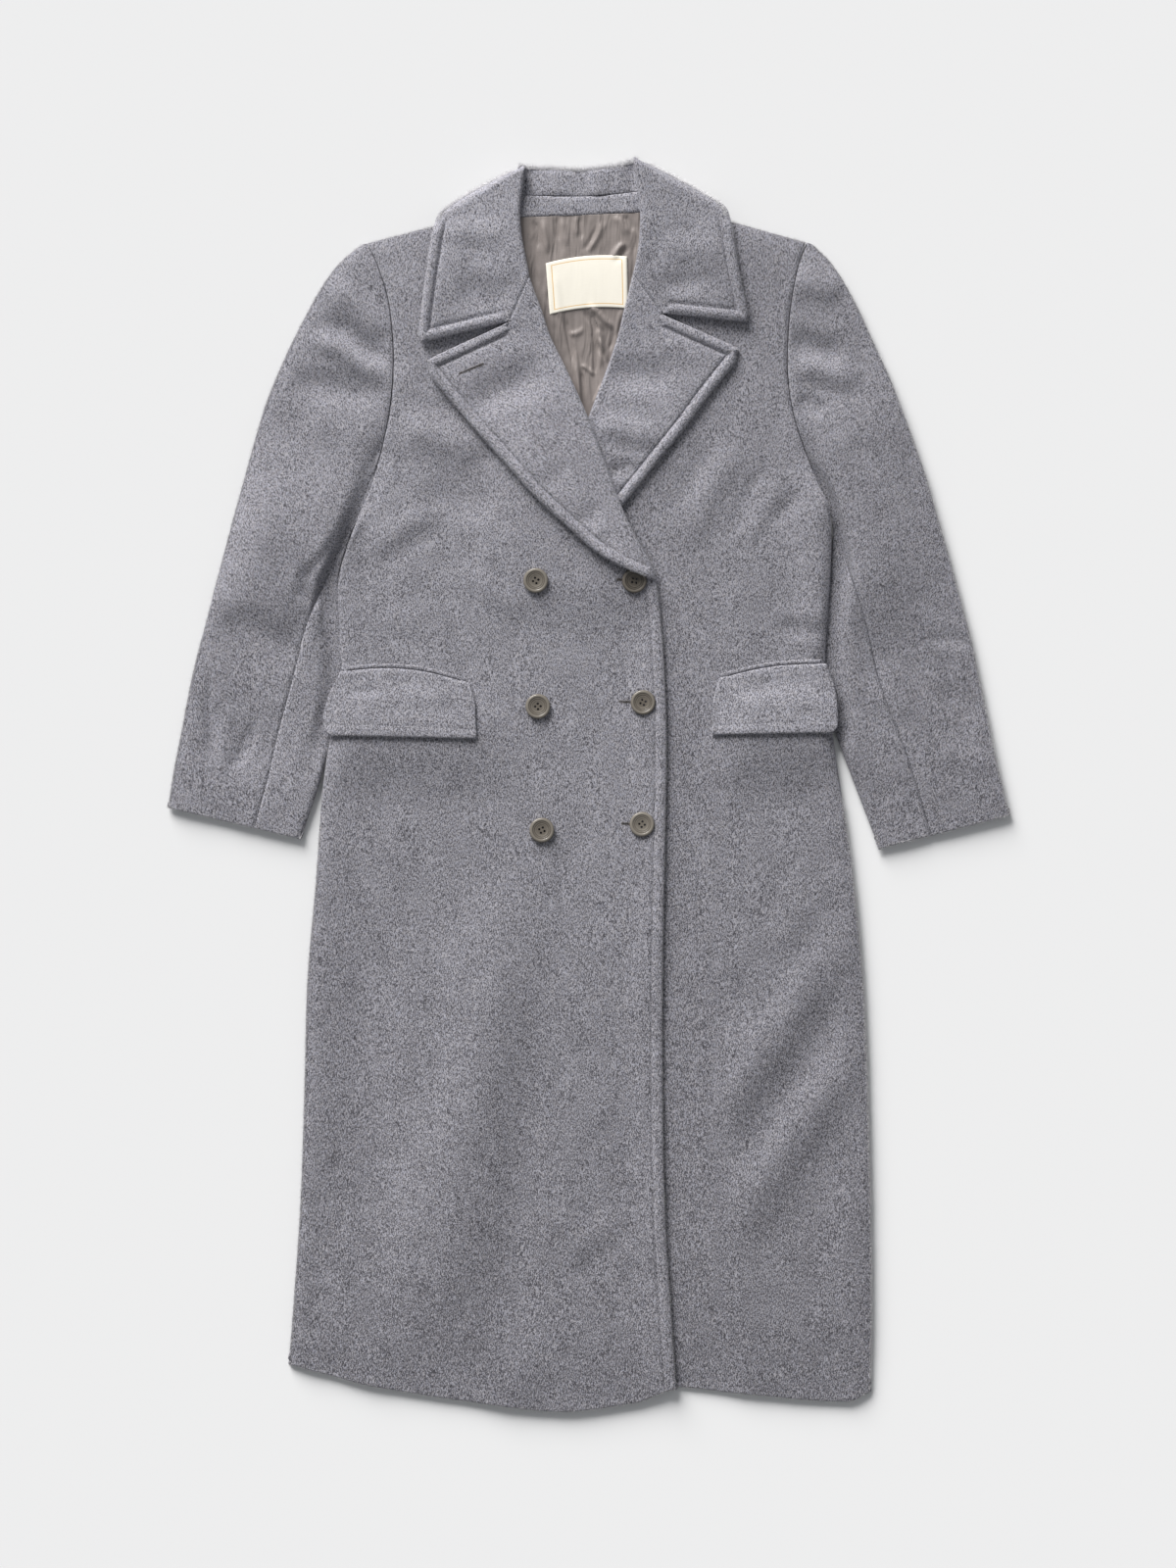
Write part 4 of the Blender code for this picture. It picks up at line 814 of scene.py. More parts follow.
lining_satin = satin_cloth("taupe lining satin", SATIN_COLOUR, SATIN_SHADE, roughness=0.42, thread=900.0, drag=0.75)
x, y, *_ = span_points(LINING, LINING_ROWS, np.linspace(0, 1, LINING_COLUMNS)[None, :])
level = np.maximum(WOOL + 3 * SEAM + SATIN + creases(x, y, LINING_CREASES), SHELL + SATIN) + lift(x, y)
lining = lay_cloth("lining_neck", np.dstack([x, y, level]), lining_satin, thickness=LINING_THICK)
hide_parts("lining")

# Label: a plain cream satin tab, folded in at its ends and sewn down on the lining below the neck facing, with
# a narrow woven line round it.
LABEL = table(Span, (-44, 530, 39, 537), (-42, 504, 39.5, 511), (-40, 478, 40, 484))
LABEL_WIDTH, LABEL_DEPTH, LABEL_ROW = 83.0, 53.0, 26
LABEL_THICK, LABEL_STEPS = 0.5, 45
LABEL_ARCH, LABEL_PUCKER = 4.0, 0.35
LABEL_RISE, LABEL_ROUND = 0.5, 1.5
LABEL_LINE, LABEL_LINE_WIDTH = 5.0, 1.0
CREAM, CREAM_SHADE = (0.985, 0.945, 0.84), (0.93, 0.885, 0.78)
PALE_GOLD, GOLD_SHADE = (0.85, 0.60, 0.30), (0.75, 0.48, 0.20)
label_satin, gold_thread = (
    satin_cloth(name, colour, shade, roughness=0.6, thread=1400.0, drag=0.05) for name, colour, shade in (
        ("cream label satin", CREAM, CREAM_SHADE), ("pale gold label thread", PALE_GOLD, GOLD_SHADE)))


def line_shares(size):
    """Even shares across the label, with extra ones at the two sides of the woven line."""
    marks = np.array((LABEL_LINE, LABEL_LINE + LABEL_LINE_WIDTH)) / size
    return np.unique(np.r_[np.linspace(0, 1, LABEL_STEPS), marks, 1 - marks])


shares = line_shares(LABEL_WIDTH)
places = 2 * line_shares(LABEL_DEPTH)
start_x, start_y, end_x, end_y, _ = columns_of(LABEL, places)
x = blend(start_x, end_x, shares[None, :])
y = blend(start_y, end_y, shares[None, :]) + LABEL_ARCH * (1 - (2 * shares[None, :] - 1) ** 2)
rounding = np.minimum(np.minimum(shares, 1 - shares)[None, :] * LABEL_WIDTH,
                      np.minimum(places, 2 - places)[:, None] * LABEL_ROW)
level = lift(x, y) + WOOL + SATIN + 3 * SEAM + SATIN + LABEL_PUCKER * creases(x, y, LINING_CREASES)
level += LABEL_RISE * quarter(rounding / LABEL_ROUND)
label = lay_cloth("label_tab", np.dstack([x, y, level]), label_satin, thickness=LABEL_THICK)
label.data.materials.append(gold_thread)
for face in label.data.polygons:
    row, column = divmod(face.index, len(shares) - 1)
    across = (shares[column] + shares[column + 1]) / 2 * LABEL_WIDTH
    down = (places[row] + places[row + 1]) / 4 * LABEL_DEPTH
    edge = min(across, LABEL_WIDTH - across, down, LABEL_DEPTH - down)
    if LABEL_LINE < edge < LABEL_LINE + LABEL_LINE_WIDTH:
        face.material_index = 1
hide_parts("label")

# Lapels and collar leaves: the fronts' upper edges turned back at a soft roll line, and the collar turned down
# beside them, meeting along the gorge seam and parting at the notch. Their free edges are turned and stitched.
Turn = namedtuple("Turn", "roll_x roll_y mid_x mid_y edge_x edge_y crease stand_off", defaults=(0, 0))
LEFT_LAPEL = table(
    Turn, (44.5, 519, 74, 478, 158, 441), (40, 500, 65, 460, 141, 419), (35, 480, 59, 443, 122, 395),
    (29, 455, 50, 420, 99, 364), (17, 420, 36, 385, 74, 333), (1, 378, 19, 348, 50, 303),
    (-15, 336, 1, 310, 29, 278), (-29, 294, -19, 278, 2, 258),
)
RIGHT_LAPEL = table(
    Turn, (-60.5, 516.5, -81.5, 470, -170, 429), (-55, 500, -75, 450, -155, 407), (-48, 482, -68, 434, -136, 384),
    (-39, 455, -60, 411, -113, 357), (-24, 424, -45, 380, -86, 327), (-4, 380, -23, 343, -56, 293),
    (16, 328, -1, 300, -24, 263), (35, 278, 22, 257, 6, 236.5, 0, 1), (50, 247, 42, 235, 31, 221.5, 0, 3),
    (63, 224, 59.5, 218.5, 54, 212, 0, 4), (69, 210.5, 67.5, 209, 66, 207.5, 0, 2),
)
RIGHT_LEAF = table(
    Turn, (-65, 629, -70, 627, -77, 624, 1), (-67, 612, -86, 611, -105, 610, 1), (-69, 594, -99, 594, -131, 595, 1),
    (-70, 578, -106, 578, -152, 580, 0.8), (-68, 556, -103, 553, -159, 561), (-64, 535, -96, 523, -165, 525),
    (-62, 525, -88, 498, -170, 488), (-60.7, 517.1, -81.7, 470.4, -174, 448),
)
LEFT_LEAF = table(
    Turn, (45, 638, 50, 636, 57, 632.5, 1), (48, 614, 67, 615, 87, 617, 1), (51, 594, 83, 596, 117, 600, 1),
    (52, 577, 91, 579, 139, 586, 0.7), (51, 555, 93, 556, 146, 564), (49, 540, 87, 529, 152, 526),
    (47, 529, 80, 504, 158, 497), (44.7, 519.6, 74.2, 478.5, 164, 469),
)
ROLL_RADIUS = (WOOL + RIDE + FACED) / 2
EDGE_RADIUS = 2.1
SMALL_TURN = 40.0
GORGE_DIP, GORGE_SEAM = 0.6, 1.9
TURN_ROWS, TURN_COLUMNS = 110, 44
RIGHT_LAPEL_CREASES = table(
    Crease, (-132, 382, -30, 422, 0, 26, -4.2), (-136, 424, -48, 450, 0, 20, 1.6), (-76, 374, -52, 300, 5, 22, 1.8),
    (-20, 330, -40, 296, 0, 16, -1.2), (14, 288, -12, 262, 2, 12, -1.4), (20, 268, 0, 250, 2, 12, 1.2),
)
LEFT_LAPEL_CREASES = table(
    Crease, (6, 418, 98, 412, 0, 26, -3.8), (2, 370, 74, 350, 0, 20, 3.6), (12, 316, 54, 323, 0, 14, -2.2),
    (62, 452, 122, 424, 3, 17, 1.2),
)
RIGHT_LEAF_CREASES = table(
    Crease, (-146, 570, -76, 558, 0, 24, 2.6), (-140, 502, -74, 492, 0, 24, -2.6),
    (-125, 590, -150, 480, 0, 20, 1.0), (-80, 560, -84, 505, 0, 16, 0.9),
)
LEFT_LEAF_CREASES = table(
    Crease, (70, 548, 142, 540, 0, 22, 2.2), (66, 506, 134, 512, 0, 16, -1.8), (110, 590, 134, 500, 0, 20, 1.0),
    (66, 565, 66, 520, 0, 16, -1.0),
)
LAPEL_TIP, LEAF_TIP = (6.4, 17.0), (3.6, 11.0)
LEAF_TOP = 0.45
EDGE_LIFT_FROM = 0.35
TONGUE_DOME, TONGUE_DROP = 3.5, 3.0
NOTCH_FROM, NOTCH_FADE, NOTCH_CLEAR = 3.0, 9.0, 30.0


def turned_points(rows, low_at, folds, free_end, row_gap, edge_lift):
    """Grid of a lapel (free at its first row) or collar leaf (free at its last row), roll line to edge."""
    last = len(rows) - 1
    rim_inset, rim_drop = rim(EDGE_RADIUS)
    end_inset, end_drop = np.r_[rim_inset, WELT_STEPS], np.r_[rim_drop, np.zeros(len(WELT_STEPS))]
    inner = np.linspace(WELT_STEPS[-1] / row_gap, last, TURN_ROWS)[1:]
    places = np.r_[end_inset / row_gap, inner]
    on_rim = np.arange(len(places)) < len(rim_inset)
    seam_places = np.where(on_rim, 0, places)
    drops = np.r_[end_drop, np.zeros(len(inner))]
    if free_end == "last":
        places, seam_places, drops = ((last - places)[::-1], (last - seam_places)[::-1], drops[::-1])
    roll_inset, roll_drop = rim(ROLL_RADIUS)
    border_roll = roll_steps(SIDE_ROLL, len(end_inset))

    def spread(places):
        roll_x, roll_y, mid_x, mid_y, edge_x, edge_y, crease, stand_off = columns_of(rows, places)
        crease = np.clip(crease, 0, 1)
        first, second = np.hypot(mid_x - roll_x, mid_y - roll_y), np.hypot(edge_x - mid_x, edge_y - mid_y)
        length = first + second
        small = np.minimum(1, length / SMALL_TURN)
        soft = (1 - crease) * small
        border = blend(border_roll[None, :], end_inset[None, :], soft) * np.minimum(1, length / (3 * SIDE_ROLL))
        hook = roll_inset[None, :] * small
        middle = blend(hook[:, -1:], length - border[:, -1:], np.linspace(0, 1, TURN_COLUMNS)[None, 1:-1])
        inset = np.hstack([hook, middle, length - border[:, ::-1]])
        near = np.clip(inset / first, 0, 1)
        far = np.clip((inset - first) / second, 0, 1)
        x = blend(blend(roll_x, mid_x, near), edge_x, far)
        y = blend(blend(roll_y, mid_y, near), edge_y, far)
        return x, y, inset, first, length, small, soft, crease, stand_off

    x, y, inset, first, length, small, soft, crease, stand_off = spread(places)
    seam_x, seam_y, *_ = spread(seam_places)
    free = ease((inset - first + NOTCH_FROM) / NOTCH_FADE)
    x, y = blend(seam_x, x, free), blend(seam_y, y, free)
    row, beside = (rows[0], rows[1]) if free_end == "first" else (rows[-1], rows[-2])
    tip, within = Vector(row[4:6]), (Vector(row[2:4]) + Vector(beside[4:6])) / 2
    most, reach = LAPEL_TIP if free_end == "first" else LEAF_TIP
    pull_x, pull_y = (within - tip).normalized() * most
    pull = ease(1 - np.hypot(x - row.edge_x, y - row.edge_y) / reach)
    x, y = x + pull_x * pull, y + pull_y * pull
    seam_away = distance_to_line(x, y, (row.roll_x, row.roll_y), (row.mid_x, row.mid_y))
    end_away = distance_to_line(x, y, (row.mid_x, row.mid_y), (row.edge_x, row.edge_y)) + NOTCH_CLEAR * (1 - free)
    lifted = stand_off + edge_lift * soft
    level = low_at(x, y) + WOOL + RIDE + FACED + lifted * ease((inset / length - EDGE_LIFT_FROM) / (1 - EDGE_LIFT_FROM))
    level -= (1 - small) * TONGUE_DOME * (2 * np.clip(inset / length, 0, 1) - 1) ** 2 * (1 - crease)
    if free_end == "first":
        level -= TONGUE_DROP * ease(places[:, None] - last + 1) * (small < 1)
    level += welt_rise(np.minimum(length - inset, end_away)) * soft + creases(x, y, folds) * soft
    roll_rise = 1 - crease * (1 - quarter((length - inset) / np.minimum(SIDE_ROLL, length)))
    if free_end == "last":
        roll_rise = roll_rise * quarter(places[:, None] / LEAF_TOP)
    level = blend(CREASE_LEVEL + SEAM / 2 + EDGE_WALL, level, roll_rise)
    hook_drop = np.r_[roll_drop, np.zeros(inset.shape[1] - len(roll_drop))][None, :] * small
    edge_drop = np.r_[np.zeros(inset.shape[1] - len(end_drop)), end_drop[::-1]][None, :] * soft
    side_drop = np.maximum(edge_drop, drops[:, None] * free * (soft > 0))
    level -= np.maximum(hook_drop, side_drop) + GORGE_DIP * (1 - free) * ease(1 - seam_away / GORGE_SEAM)
    return np.dstack([x, y, level])


turned_edges = {}
# Each turned piece's tone is painted light: the lapels and the right collar leaf are paler copies of the wool, the left
# leaf near the left front's tone.
for name, node, rows, low_at, folds, free_end, row_gap, edge_lift, lean, tone, flat, area, under in (
        ("lapel_left_turned", "lapel_left", LEFT_LAPEL, left_front_low, LEFT_LAPEL_CREASES, "first", 23,
         0.4, 35, 1.12, (0.20, 0.30), 0.028, left_front),
        ("collar_left_leaf", "collar_leaf_left", LEFT_LEAF, left_front_low, LEFT_LEAF_CREASES, "last", 29,
         1.6, 8, 0.98, (0.14, 0.20), 0.018, left_front),
        ("lapel_right_turned", "lapel_right", RIGHT_LAPEL, right_front_low, RIGHT_LAPEL_CREASES, "first", 24,
         3.4, -35, 1.10, (0.22, 0.35), 0.034, right_front),
        ("collar_right_leaf", "collar_leaf_right", RIGHT_LEAF, right_front_low, RIGHT_LEAF_CREASES, "last", 34,
         2.2, -8, 1.14, (0.14, 0.21), 0.019, right_front)):
    points = turned_points(rows, low_at, folds, free_end, row_gap, edge_lift)
    turned_edges[node] = points
    turned_piece = lay_cloth(name, points, wool_cloth(f"{node} wool", lean, tone))
    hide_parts(node)

# Pocket flaps and jets: a faced flap hangs from a narrow jet along each pocket mouth. Its top is sewn in, its
# foot is stitched about 10 mm up, and its outer end laps over the sleeve.
Flap = namedtuple("Flap", "outer_x inner_x")
FlapCut = namedtuple("FlapCut", "widths outer_top inner_top outer_foot inner_foot arch outer_corner inner_corner")
RIGHT_FLAP = FlapCut((Flap(-254, -121), Flap(-264, -116), Flap(-270, -115), Flap(-270, -114)),
                     114, 102, 49, 46, 9, 11, 4)
LEFT_FLAP = FlapCut((Flap(242, 132), Flap(250, 127), Flap(253, 126), Flap(253, 125)), 122, 107, 52, 50, 5, 9, 4)
FLAP_THICK, FLAP_RADIUS = 3.2, 1.5
FLAP_ROWS, FLAP_COLUMNS = 40, 60
FLAP_FOOT, FLAP_FOOT_ROWS, FLAP_FOOT_END = 15, 20, 2.5
FLAP_END_STEPS = (2.6, 4, 6)
FLAP_TOP_ROLL, FLAP_TOP_FROM = 5.0, 0.1
FLAP_STITCH = 10.0
JET_WIDTH, JET_HEIGHT, JET_GAP, JET_SINK, JET_THICK = 4.4, 1.1, 0.5, 0.2, 0.8
JET_SPAN, JET_ROWS, JET_COLUMNS, JET_END = (0.05, 0.98), 60, 11, 30
FLAP_WELT = 0.24
FLAP_LIFT = 0.3
RIGHT_FLAP_CREASES = table(
    Crease, (-250, 92, -210, 96, 0, 7, -0.9), (-235, 84, -130, 84, 4, 14, 0.9), (-160, 70, -125, 80, 0, 12, -0.7),
)
LEFT_FLAP_CREASES = table(
    Crease, (140, 92, 240, 104, 3, 12, -0.9), (140, 80, 235, 84, 0, 14, 0.9), (200, 72, 246, 70, 0, 10, -0.6),
)


def flap_points(cut, low_at, folds):
    """Grid of a pocket flap, from its sewn top down to its turned foot and round its two ends."""
    rim_inset, rim_drop = rim(FLAP_RADIUS)
    depth = (cut.outer_top + cut.inner_top - cut.outer_foot - cut.inner_foot) / 2
    near_foot = np.linspace(depth - FLAP_FOOT, depth - FLAP_FOOT_END, FLAP_FOOT_ROWS)
    down = np.r_[np.linspace(0, depth - FLAP_FOOT - 1, FLAP_ROWS), near_foot, depth - rim_inset[::-1]][:, None]
    foot_drop = np.r_[np.zeros(len(down) - len(rim_drop)), rim_drop[::-1]][:, None]
    outer_x, inner_x = columns_of(cut.widths, down[:, 0] / depth * (len(cut.widths) - 1))
    to_foot = depth - down
    inward = np.sign(inner_x - outer_x)
    outer_x = outer_x + inward * cut.outer_corner * (1 - quarter(to_foot / cut.outer_corner))
    inner_x = inner_x - inward * cut.inner_corner * (1 - quarter(to_foot / cut.inner_corner))
    width = abs(inner_x - outer_x)
    ends = np.r_[rim_inset, FLAP_END_STEPS][None, :]
    between = blend(ends[:, -1:], width - ends[:, -1:], np.linspace(0, 1, FLAP_COLUMNS)[None, 1:-1])
    inset = np.hstack([np.repeat(ends, len(down), 0), between, width - ends[:, ::-1]])
    end_drop = np.r_[rim_drop, np.zeros(inset.shape[1] - 2 * len(rim_drop)), rim_drop[::-1]][None, :]
    share = inset / width
    x = blend(outer_x, inner_x, share)
    top = blend(cut.outer_top, cut.inner_top, share) + cut.arch * np.sin(pi * share)
    foot = blend(cut.outer_foot, cut.inner_foot, share)
    y = blend(top, foot, down / depth)
    level = np.maximum(low_at(x, y), WOOL + SLACK) + WOOL + SEAM + FLAP_THICK
    level += FLAP_WELT * welt_rise(to_foot + STITCH_INSET - FLAP_STITCH) + creases(x, y, folds)
    level += FLAP_LIFT * ease(down / depth)
    level -= (FLAP_THICK - EDGE_WALL) * (1 - quarter(down / FLAP_TOP_ROLL + FLAP_TOP_FROM))
    return np.dstack([x, y, level - np.minimum(np.hypot(end_drop, foot_drop), 2 * FLAP_RADIUS)])


def jet_points(cut, low_at):
    """Grid of the narrow rolled jet just above a flap."""
    share = np.linspace(*JET_SPAN, JET_ROWS)[:, None]
    turn = np.radians(np.linspace(0, 180, JET_COLUMNS))[None, :]
    x = blend(cut.widths[0].outer_x, cut.widths[0].inner_x, share) + 0 * turn
    y = blend(cut.outer_top, cut.inner_top, share) + cut.arch * np.sin(pi * share) + JET_GAP
    y = y + JET_WIDTH * (1 - np.cos(turn)) / 2
    rolled = JET_HEIGHT * np.sin(turn) * quarter(share * (1 - share) * JET_END)
    return np.dstack([x, y, low_at(x, y) + WOOL - JET_SINK + rolled])


flap_edges = {}
# Each flap's tone is painted light: the flaps are painted a little paler than the fronts, the left one most.
for hand, cut, low_at, folds, front, tone in (
        ("right", RIGHT_FLAP, right_front_low, RIGHT_FLAP_CREASES, right_front, 1.05),
        ("left", LEFT_FLAP, left_front_low, LEFT_FLAP_CREASES, left_front, 1.10)):
    points = flap_points(cut, low_at, folds)
    flap_edges[hand] = points
    flap = lay_cloth(f"flap_{hand}_faced", points, wool_cloth(f"{hand} flap wool", 0, tone))
    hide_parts(f"flap_{hand}")
    jet = lay_cloth(f"jet_{hand}_strip", jet_points(cut, low_at), body_wool, thickness=JET_THICK)
    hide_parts(f"jet_{hand}")

# Buttons: six polished horn-effect buttons with a broad rim, turned rings and four holes. The left row is sewn
# on the right front; the right row comes through the buttonholes from below.
Button = namedtuple("Button", "x y turn shade")
BUTTONS = table(
    Button, (-54, 207, 4, 0.15), (46, 207, 28, -0.2), (-52, 79, -12, 0.1), (55, 83, 24, 0.0), (-48, -47, 8, 0.05),
    (54, -41, -20, 0.22),
)
BUTTON_RADIUS = 12.7
BUTTON_FOOT = 9
BUTTON_SPIN, HOLE_SIDES = 56, 14
SHARP_RIDGE = 50
Ring = namedtuple("Ring", "radius height")
BUTTON_PROFILE = table(
    Ring, (0, 0), (10.2, 0), (11.6, 0.5), (12.5, 1.5), (12.7, 2.3), (12.5, 3.0), (11.9, 3.6), (11.0, 3.9),
    (10.1, 3.9), (9.5, 3.65), (9.1, 3.35), (8.7, 3.3), (8.3, 3.45), (7.9, 3.4), (7.4, 3.0), (7.0, 2.95), (6.6, 3.1),
    (6.2, 3.05), (5.7, 2.8), (4.4, 2.7), (0, 2.7),
)
HOLE_RADIUS, HOLE_SPACING = 1.2, 2.0
HORN_DARK, HORN_MIDDLE, HORN_PALE = (0.042, 0.035, 0.029), (0.122, 0.106, 0.088), (0.215, 0.195, 0.168)

horn, tree, horn_shader = new_material("grey brown horn", Roughness=0.38, Specular_IOR_Level=0.35, Coat_Weight=0.25,
                                       Coat_Roughness=0.12)
ring_place = tree.nodes.new("ShaderNodeAttribute")
ring_place.attribute_name = "ring"
horn_place = tree.nodes.new("ShaderNodeTexCoord").outputs["Object"]
horn_grain = linked(tree, "ShaderNodeTexNoise", Vector=horn_place, Scale=240.0, Detail=3.0, Distortion=2.0)
horn_tone = linked(tree, "ShaderNodeValToRGB", Fac=weighed(
    tree, -0.2, (ring_place.outputs["Fac"], 1.0), (horn_grain.outputs[0], 0.45)))
horn_tone.color_ramp.elements.new(0.45)
for mark, colour in zip(horn_tone.color_ramp.elements, (HORN_DARK, HORN_MIDDLE, HORN_PALE)):
    mark.color = tint(colour)
feed(tree, horn_shader.inputs["Base Color"], horn_tone.outputs[0])
# Tone along the button's radius follows its turned profile: pale on the crown and ridges, a painted light, and dark in
# the grooves and down the outer side, a painted shade; the grain is the horn's own.
RING_TONES = ((0, 0.4), (4.4, 0.45), (5.7, 0.5), (6.4, 0.7), (7.2, 0.1), (8.1, 0.65), (8.9, 0.1), (9.5, 0.5),
              (10.1, 0.8), (11.4, 0.85), (12.7, 0.3))


def turned_button(tone):
    """One button spun from its profile, with its four holes drilled and the tone of its rings marked."""
    bm = bmesh.new()
    points = [bm.verts.new((row.radius * MM, 0, row.height * MM)) for row in BUTTON_PROFILE]
    edges = [bm.edges.new(pair) for pair in zip(points, points[1:])]
    bmesh.ops.spin(bm, geom=points + edges, axis=(0, 0, 1), cent=(0, 0, 0), angle=2 * pi,
                   steps=BUTTON_SPIN, use_merge=True)
    bmesh.ops.remove_doubles(bm, verts=bm.verts[:], dist=0.01 * MM)
    bmesh.ops.recalc_face_normals(bm, faces=bm.faces[:])
    blank = new_object("button blank", finished_mesh("button blank", bm))
    bm = bmesh.new()
    for side_x in (-1, 1):
        for side_y in (-1, 1):
            spot = Matrix.Translation(Vector((side_x, side_y, 0)) * HOLE_SPACING * MM)
            bmesh.ops.create_cone(bm, cap_ends=True, segments=HOLE_SIDES, radius1=HOLE_RADIUS * MM,
                                  radius2=HOLE_RADIUS * MM, depth=BUTTON_RADIUS * MM, matrix=spot)
    drill = new_object("button drill", finished_mesh("button drill", bm))
    cut = blank.modifiers.new("holes", "BOOLEAN")
    cut.object = drill
    cut.solver = "EXACT"
    mesh = bpy.data.meshes.new_from_object(blank.evaluated_get(bpy.context.evaluated_depsgraph_get()))
    for tool in (blank, drill):
        bpy.data.objects.remove(tool, do_unlink=True)
    ring = mesh.attributes.new("ring", "FLOAT", "POINT")
    radii = [Vector(vertex.co[:2]).length / MM for vertex in mesh.vertices]
    ring.data.foreach_set("value", np.interp(radii, *zip(*RING_TONES)) + tone)
    return mesh


button_places = []
for number, spot in enumerate(BUTTONS, 1):
    x, y = np.array([[spot.x]], float), np.array([[spot.y]], float)
    slope_x = (right_front_low(x + BUTTON_FOOT, y) - right_front_low(x - BUTTON_FOOT, y)).item()
    slope_y = (right_front_low(x, y + BUTTON_FOOT) - right_front_low(x, y - BUTTON_FOOT)).item()
    level = right_front_low(x, y).item() + WOOL + 2 * SEAM
    stand_up = Vector((-slope_x, -slope_y, 2 * BUTTON_FOOT)).to_track_quat("Z", "Y").to_matrix().to_4x4()
    place = Matrix.Translation(Vector((spot.x, spot.y, level)) * MM) @ stand_up @ Matrix.Rotation(
        radians(spot.turn), 4, "Z")
    button_places.append(place)
    mesh = turned_button(spot.shade)
    mesh.transform(place)
    mesh.materials.clear()
    mesh.materials.append(horn)
    mesh.shade_smooth()
    mesh.set_sharp_from_angle(angle=radians(SHARP_RIDGE))
    button = new_object(f"horn_button_{number}", mesh)
    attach(button, "root")
    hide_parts(f"button_{number}")

# Sewing: grey thread stitches sunk in the groove of each turned edge, threads through the buttons, and the
# worked buttonholes, whose slits are edged with close stitches and shown by a near-black painted shade.
STITCH_LENGTH, STITCH_PITCH, STITCH_SINK, THREAD = 3.0, 4.2, 0.1, 0.28
WELT_FULL, FLAP_STITCH_ROW = 0.8, 10
BUTTON_THREAD, THREAD_HEIGHT, SHANK_HEIGHT, SHANK = 0.7, 1.5, 0.6, (1, 4, 4, 1)
THREAD_GREY, THREAD_DARK = (0.11, 0.108, 0.115), (0.018, 0.017, 0.018)
# The near-black of the buttonhole slits is painted shade, standing for the dark opening of each slit.
HOLE_THREAD, SLIT_SHADE_COLOUR = (0.12, 0.105, 0.09), (0.012, 0.011, 0.012)


def plain_thread(name, colour):
    """Thread with a fine twist along it."""
    material, tree, shader = new_material(name, Roughness=0.8)
    place = tree.nodes.new("ShaderNodeTexCoord").outputs["Object"]
    twist = linked(tree, "ShaderNodeTexNoise", Vector=place, Scale=1800.0, Detail=1.0)
    twisted = colours_mixed(tree, twist.outputs[0], tint(colour, 0.6), tint(colour, 1.4))
    feed(tree, shader.inputs["Base Color"], twisted)
    return material


def joined(name, shape, places, material):
    """Many copies of one small shape, each at its own place, as one mesh."""
    bmesh.ops.triangulate(shape, faces=shape.faces[:])
    shape.verts.ensure_lookup_table()
    corners = np.array([vertex.co for vertex in shape.verts])
    faces = np.array([[vertex.index for vertex in face.verts] for face in shape.faces])
    shape.free()
    places = np.asarray(places, float)
    spots = np.einsum("kij,pj->kpi", places[:, :3, :3], corners) + places[:, None, :3, 3]
    every_face = faces[None] + len(corners) * np.arange(len(places))[:, None, None]
    mesh = bpy.data.meshes.new(name)
    mesh.from_pydata(spots.reshape(-1, 3), [], every_face.reshape(-1, 3))
    mesh.materials.append(material)
    mesh.shade_smooth()
    piece = new_object(name, mesh)
    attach(piece, "root")


def at_marks(marks, lengths, path):
    """Points of a path at distances along it."""
    return np.column_stack([np.interp(marks, lengths, path[:, axis]) for axis in range(3)])


def even_spots(path, pitch):
    """Points and directions at an even pitch along a path of points."""
    path = np.asarray(path, float)
    lengths = np.r_[0, np.cumsum(np.linalg.norm(np.diff(path, axis=0), axis=1))]
    marks = np.arange(pitch / 2, lengths[-1] - pitch / 4, pitch)
    ways = at_marks(marks + 0.5, lengths, path) - at_marks(marks - 0.5, lengths, path)
    return at_marks(marks, lengths, path), ways / np.linalg.norm(ways, axis=1)[:, None]


def stitch_places(path, pitch, sink):
    """Places of stitches that lie along a path, sunk a little into the cloth."""
    places = []
    for spot, way in zip(*even_spots(path, pitch)):
        turn = Vector(way).to_track_quat("X", "Z").to_matrix().to_4x4()
        places.append(Matrix.Translation(Vector(spot - (0, 0, sink)) * MM) @ turn)
    return places


def stitch_shape(length, thick):
    """A short, rounded stitch along X."""
    bm = bmesh.new()
    bmesh.ops.create_icosphere(bm, subdivisions=1, radius=0.5 * MM, matrix=Matrix.Diagonal((length, thick, thick, 1)))
    return bm


grey_thread = plain_thread("grey sewing thread", THREAD_GREY)
rim_count = len(front_rim_inset)
groove = rim_count + int(np.argmin(abs(WELT_STEPS - STITCH_INSET)))
closed = rows_along([row.welt for row in RIGHT_FRONT], body_rows(last_row, FRONT_ROWS)[0]) > WELT_FULL
seams = [right_front_points[closed, groove][:-rim_count]]
outer, notch = -1 - groove, rim_count + TURN_COLUMNS // 2
for node, points in turned_edges.items():
    if node.startswith("lapel"):
        seams += [points[groove:, outer], points[groove, notch:outer]]
    else:
        seams += [points[len(points) // 2:outer, outer], points[outer, notch:outer]]
for points in flap_edges.values():
    seams.append(points[-rim_count - FLAP_STITCH_ROW, rim_count + 2:-rim_count - 2])
stitches = [place for path in seams for place in stitch_places(path, STITCH_PITCH, STITCH_SINK)]
joined("edge_stitching", stitch_shape(STITCH_LENGTH, 2 * THREAD), stitches, grey_thread)

dark_thread = plain_thread("dark button thread", THREAD_DARK)
thread_places = []
for place in button_places:
    for side in (-1, 1):
        for level, shape in ((THREAD_HEIGHT, Matrix.Rotation(pi / 2, 4, "Z")), (SHANK_HEIGHT, Matrix.Diagonal(SHANK))):
            spot = Vector((side * HOLE_SPACING, 0, level)) * MM
            thread_places.append(place @ Matrix.Translation(spot) @ shape)
joined("button_thread", stitch_shape(2 * HOLE_SPACING, BUTTON_THREAD), thread_places, dark_thread)

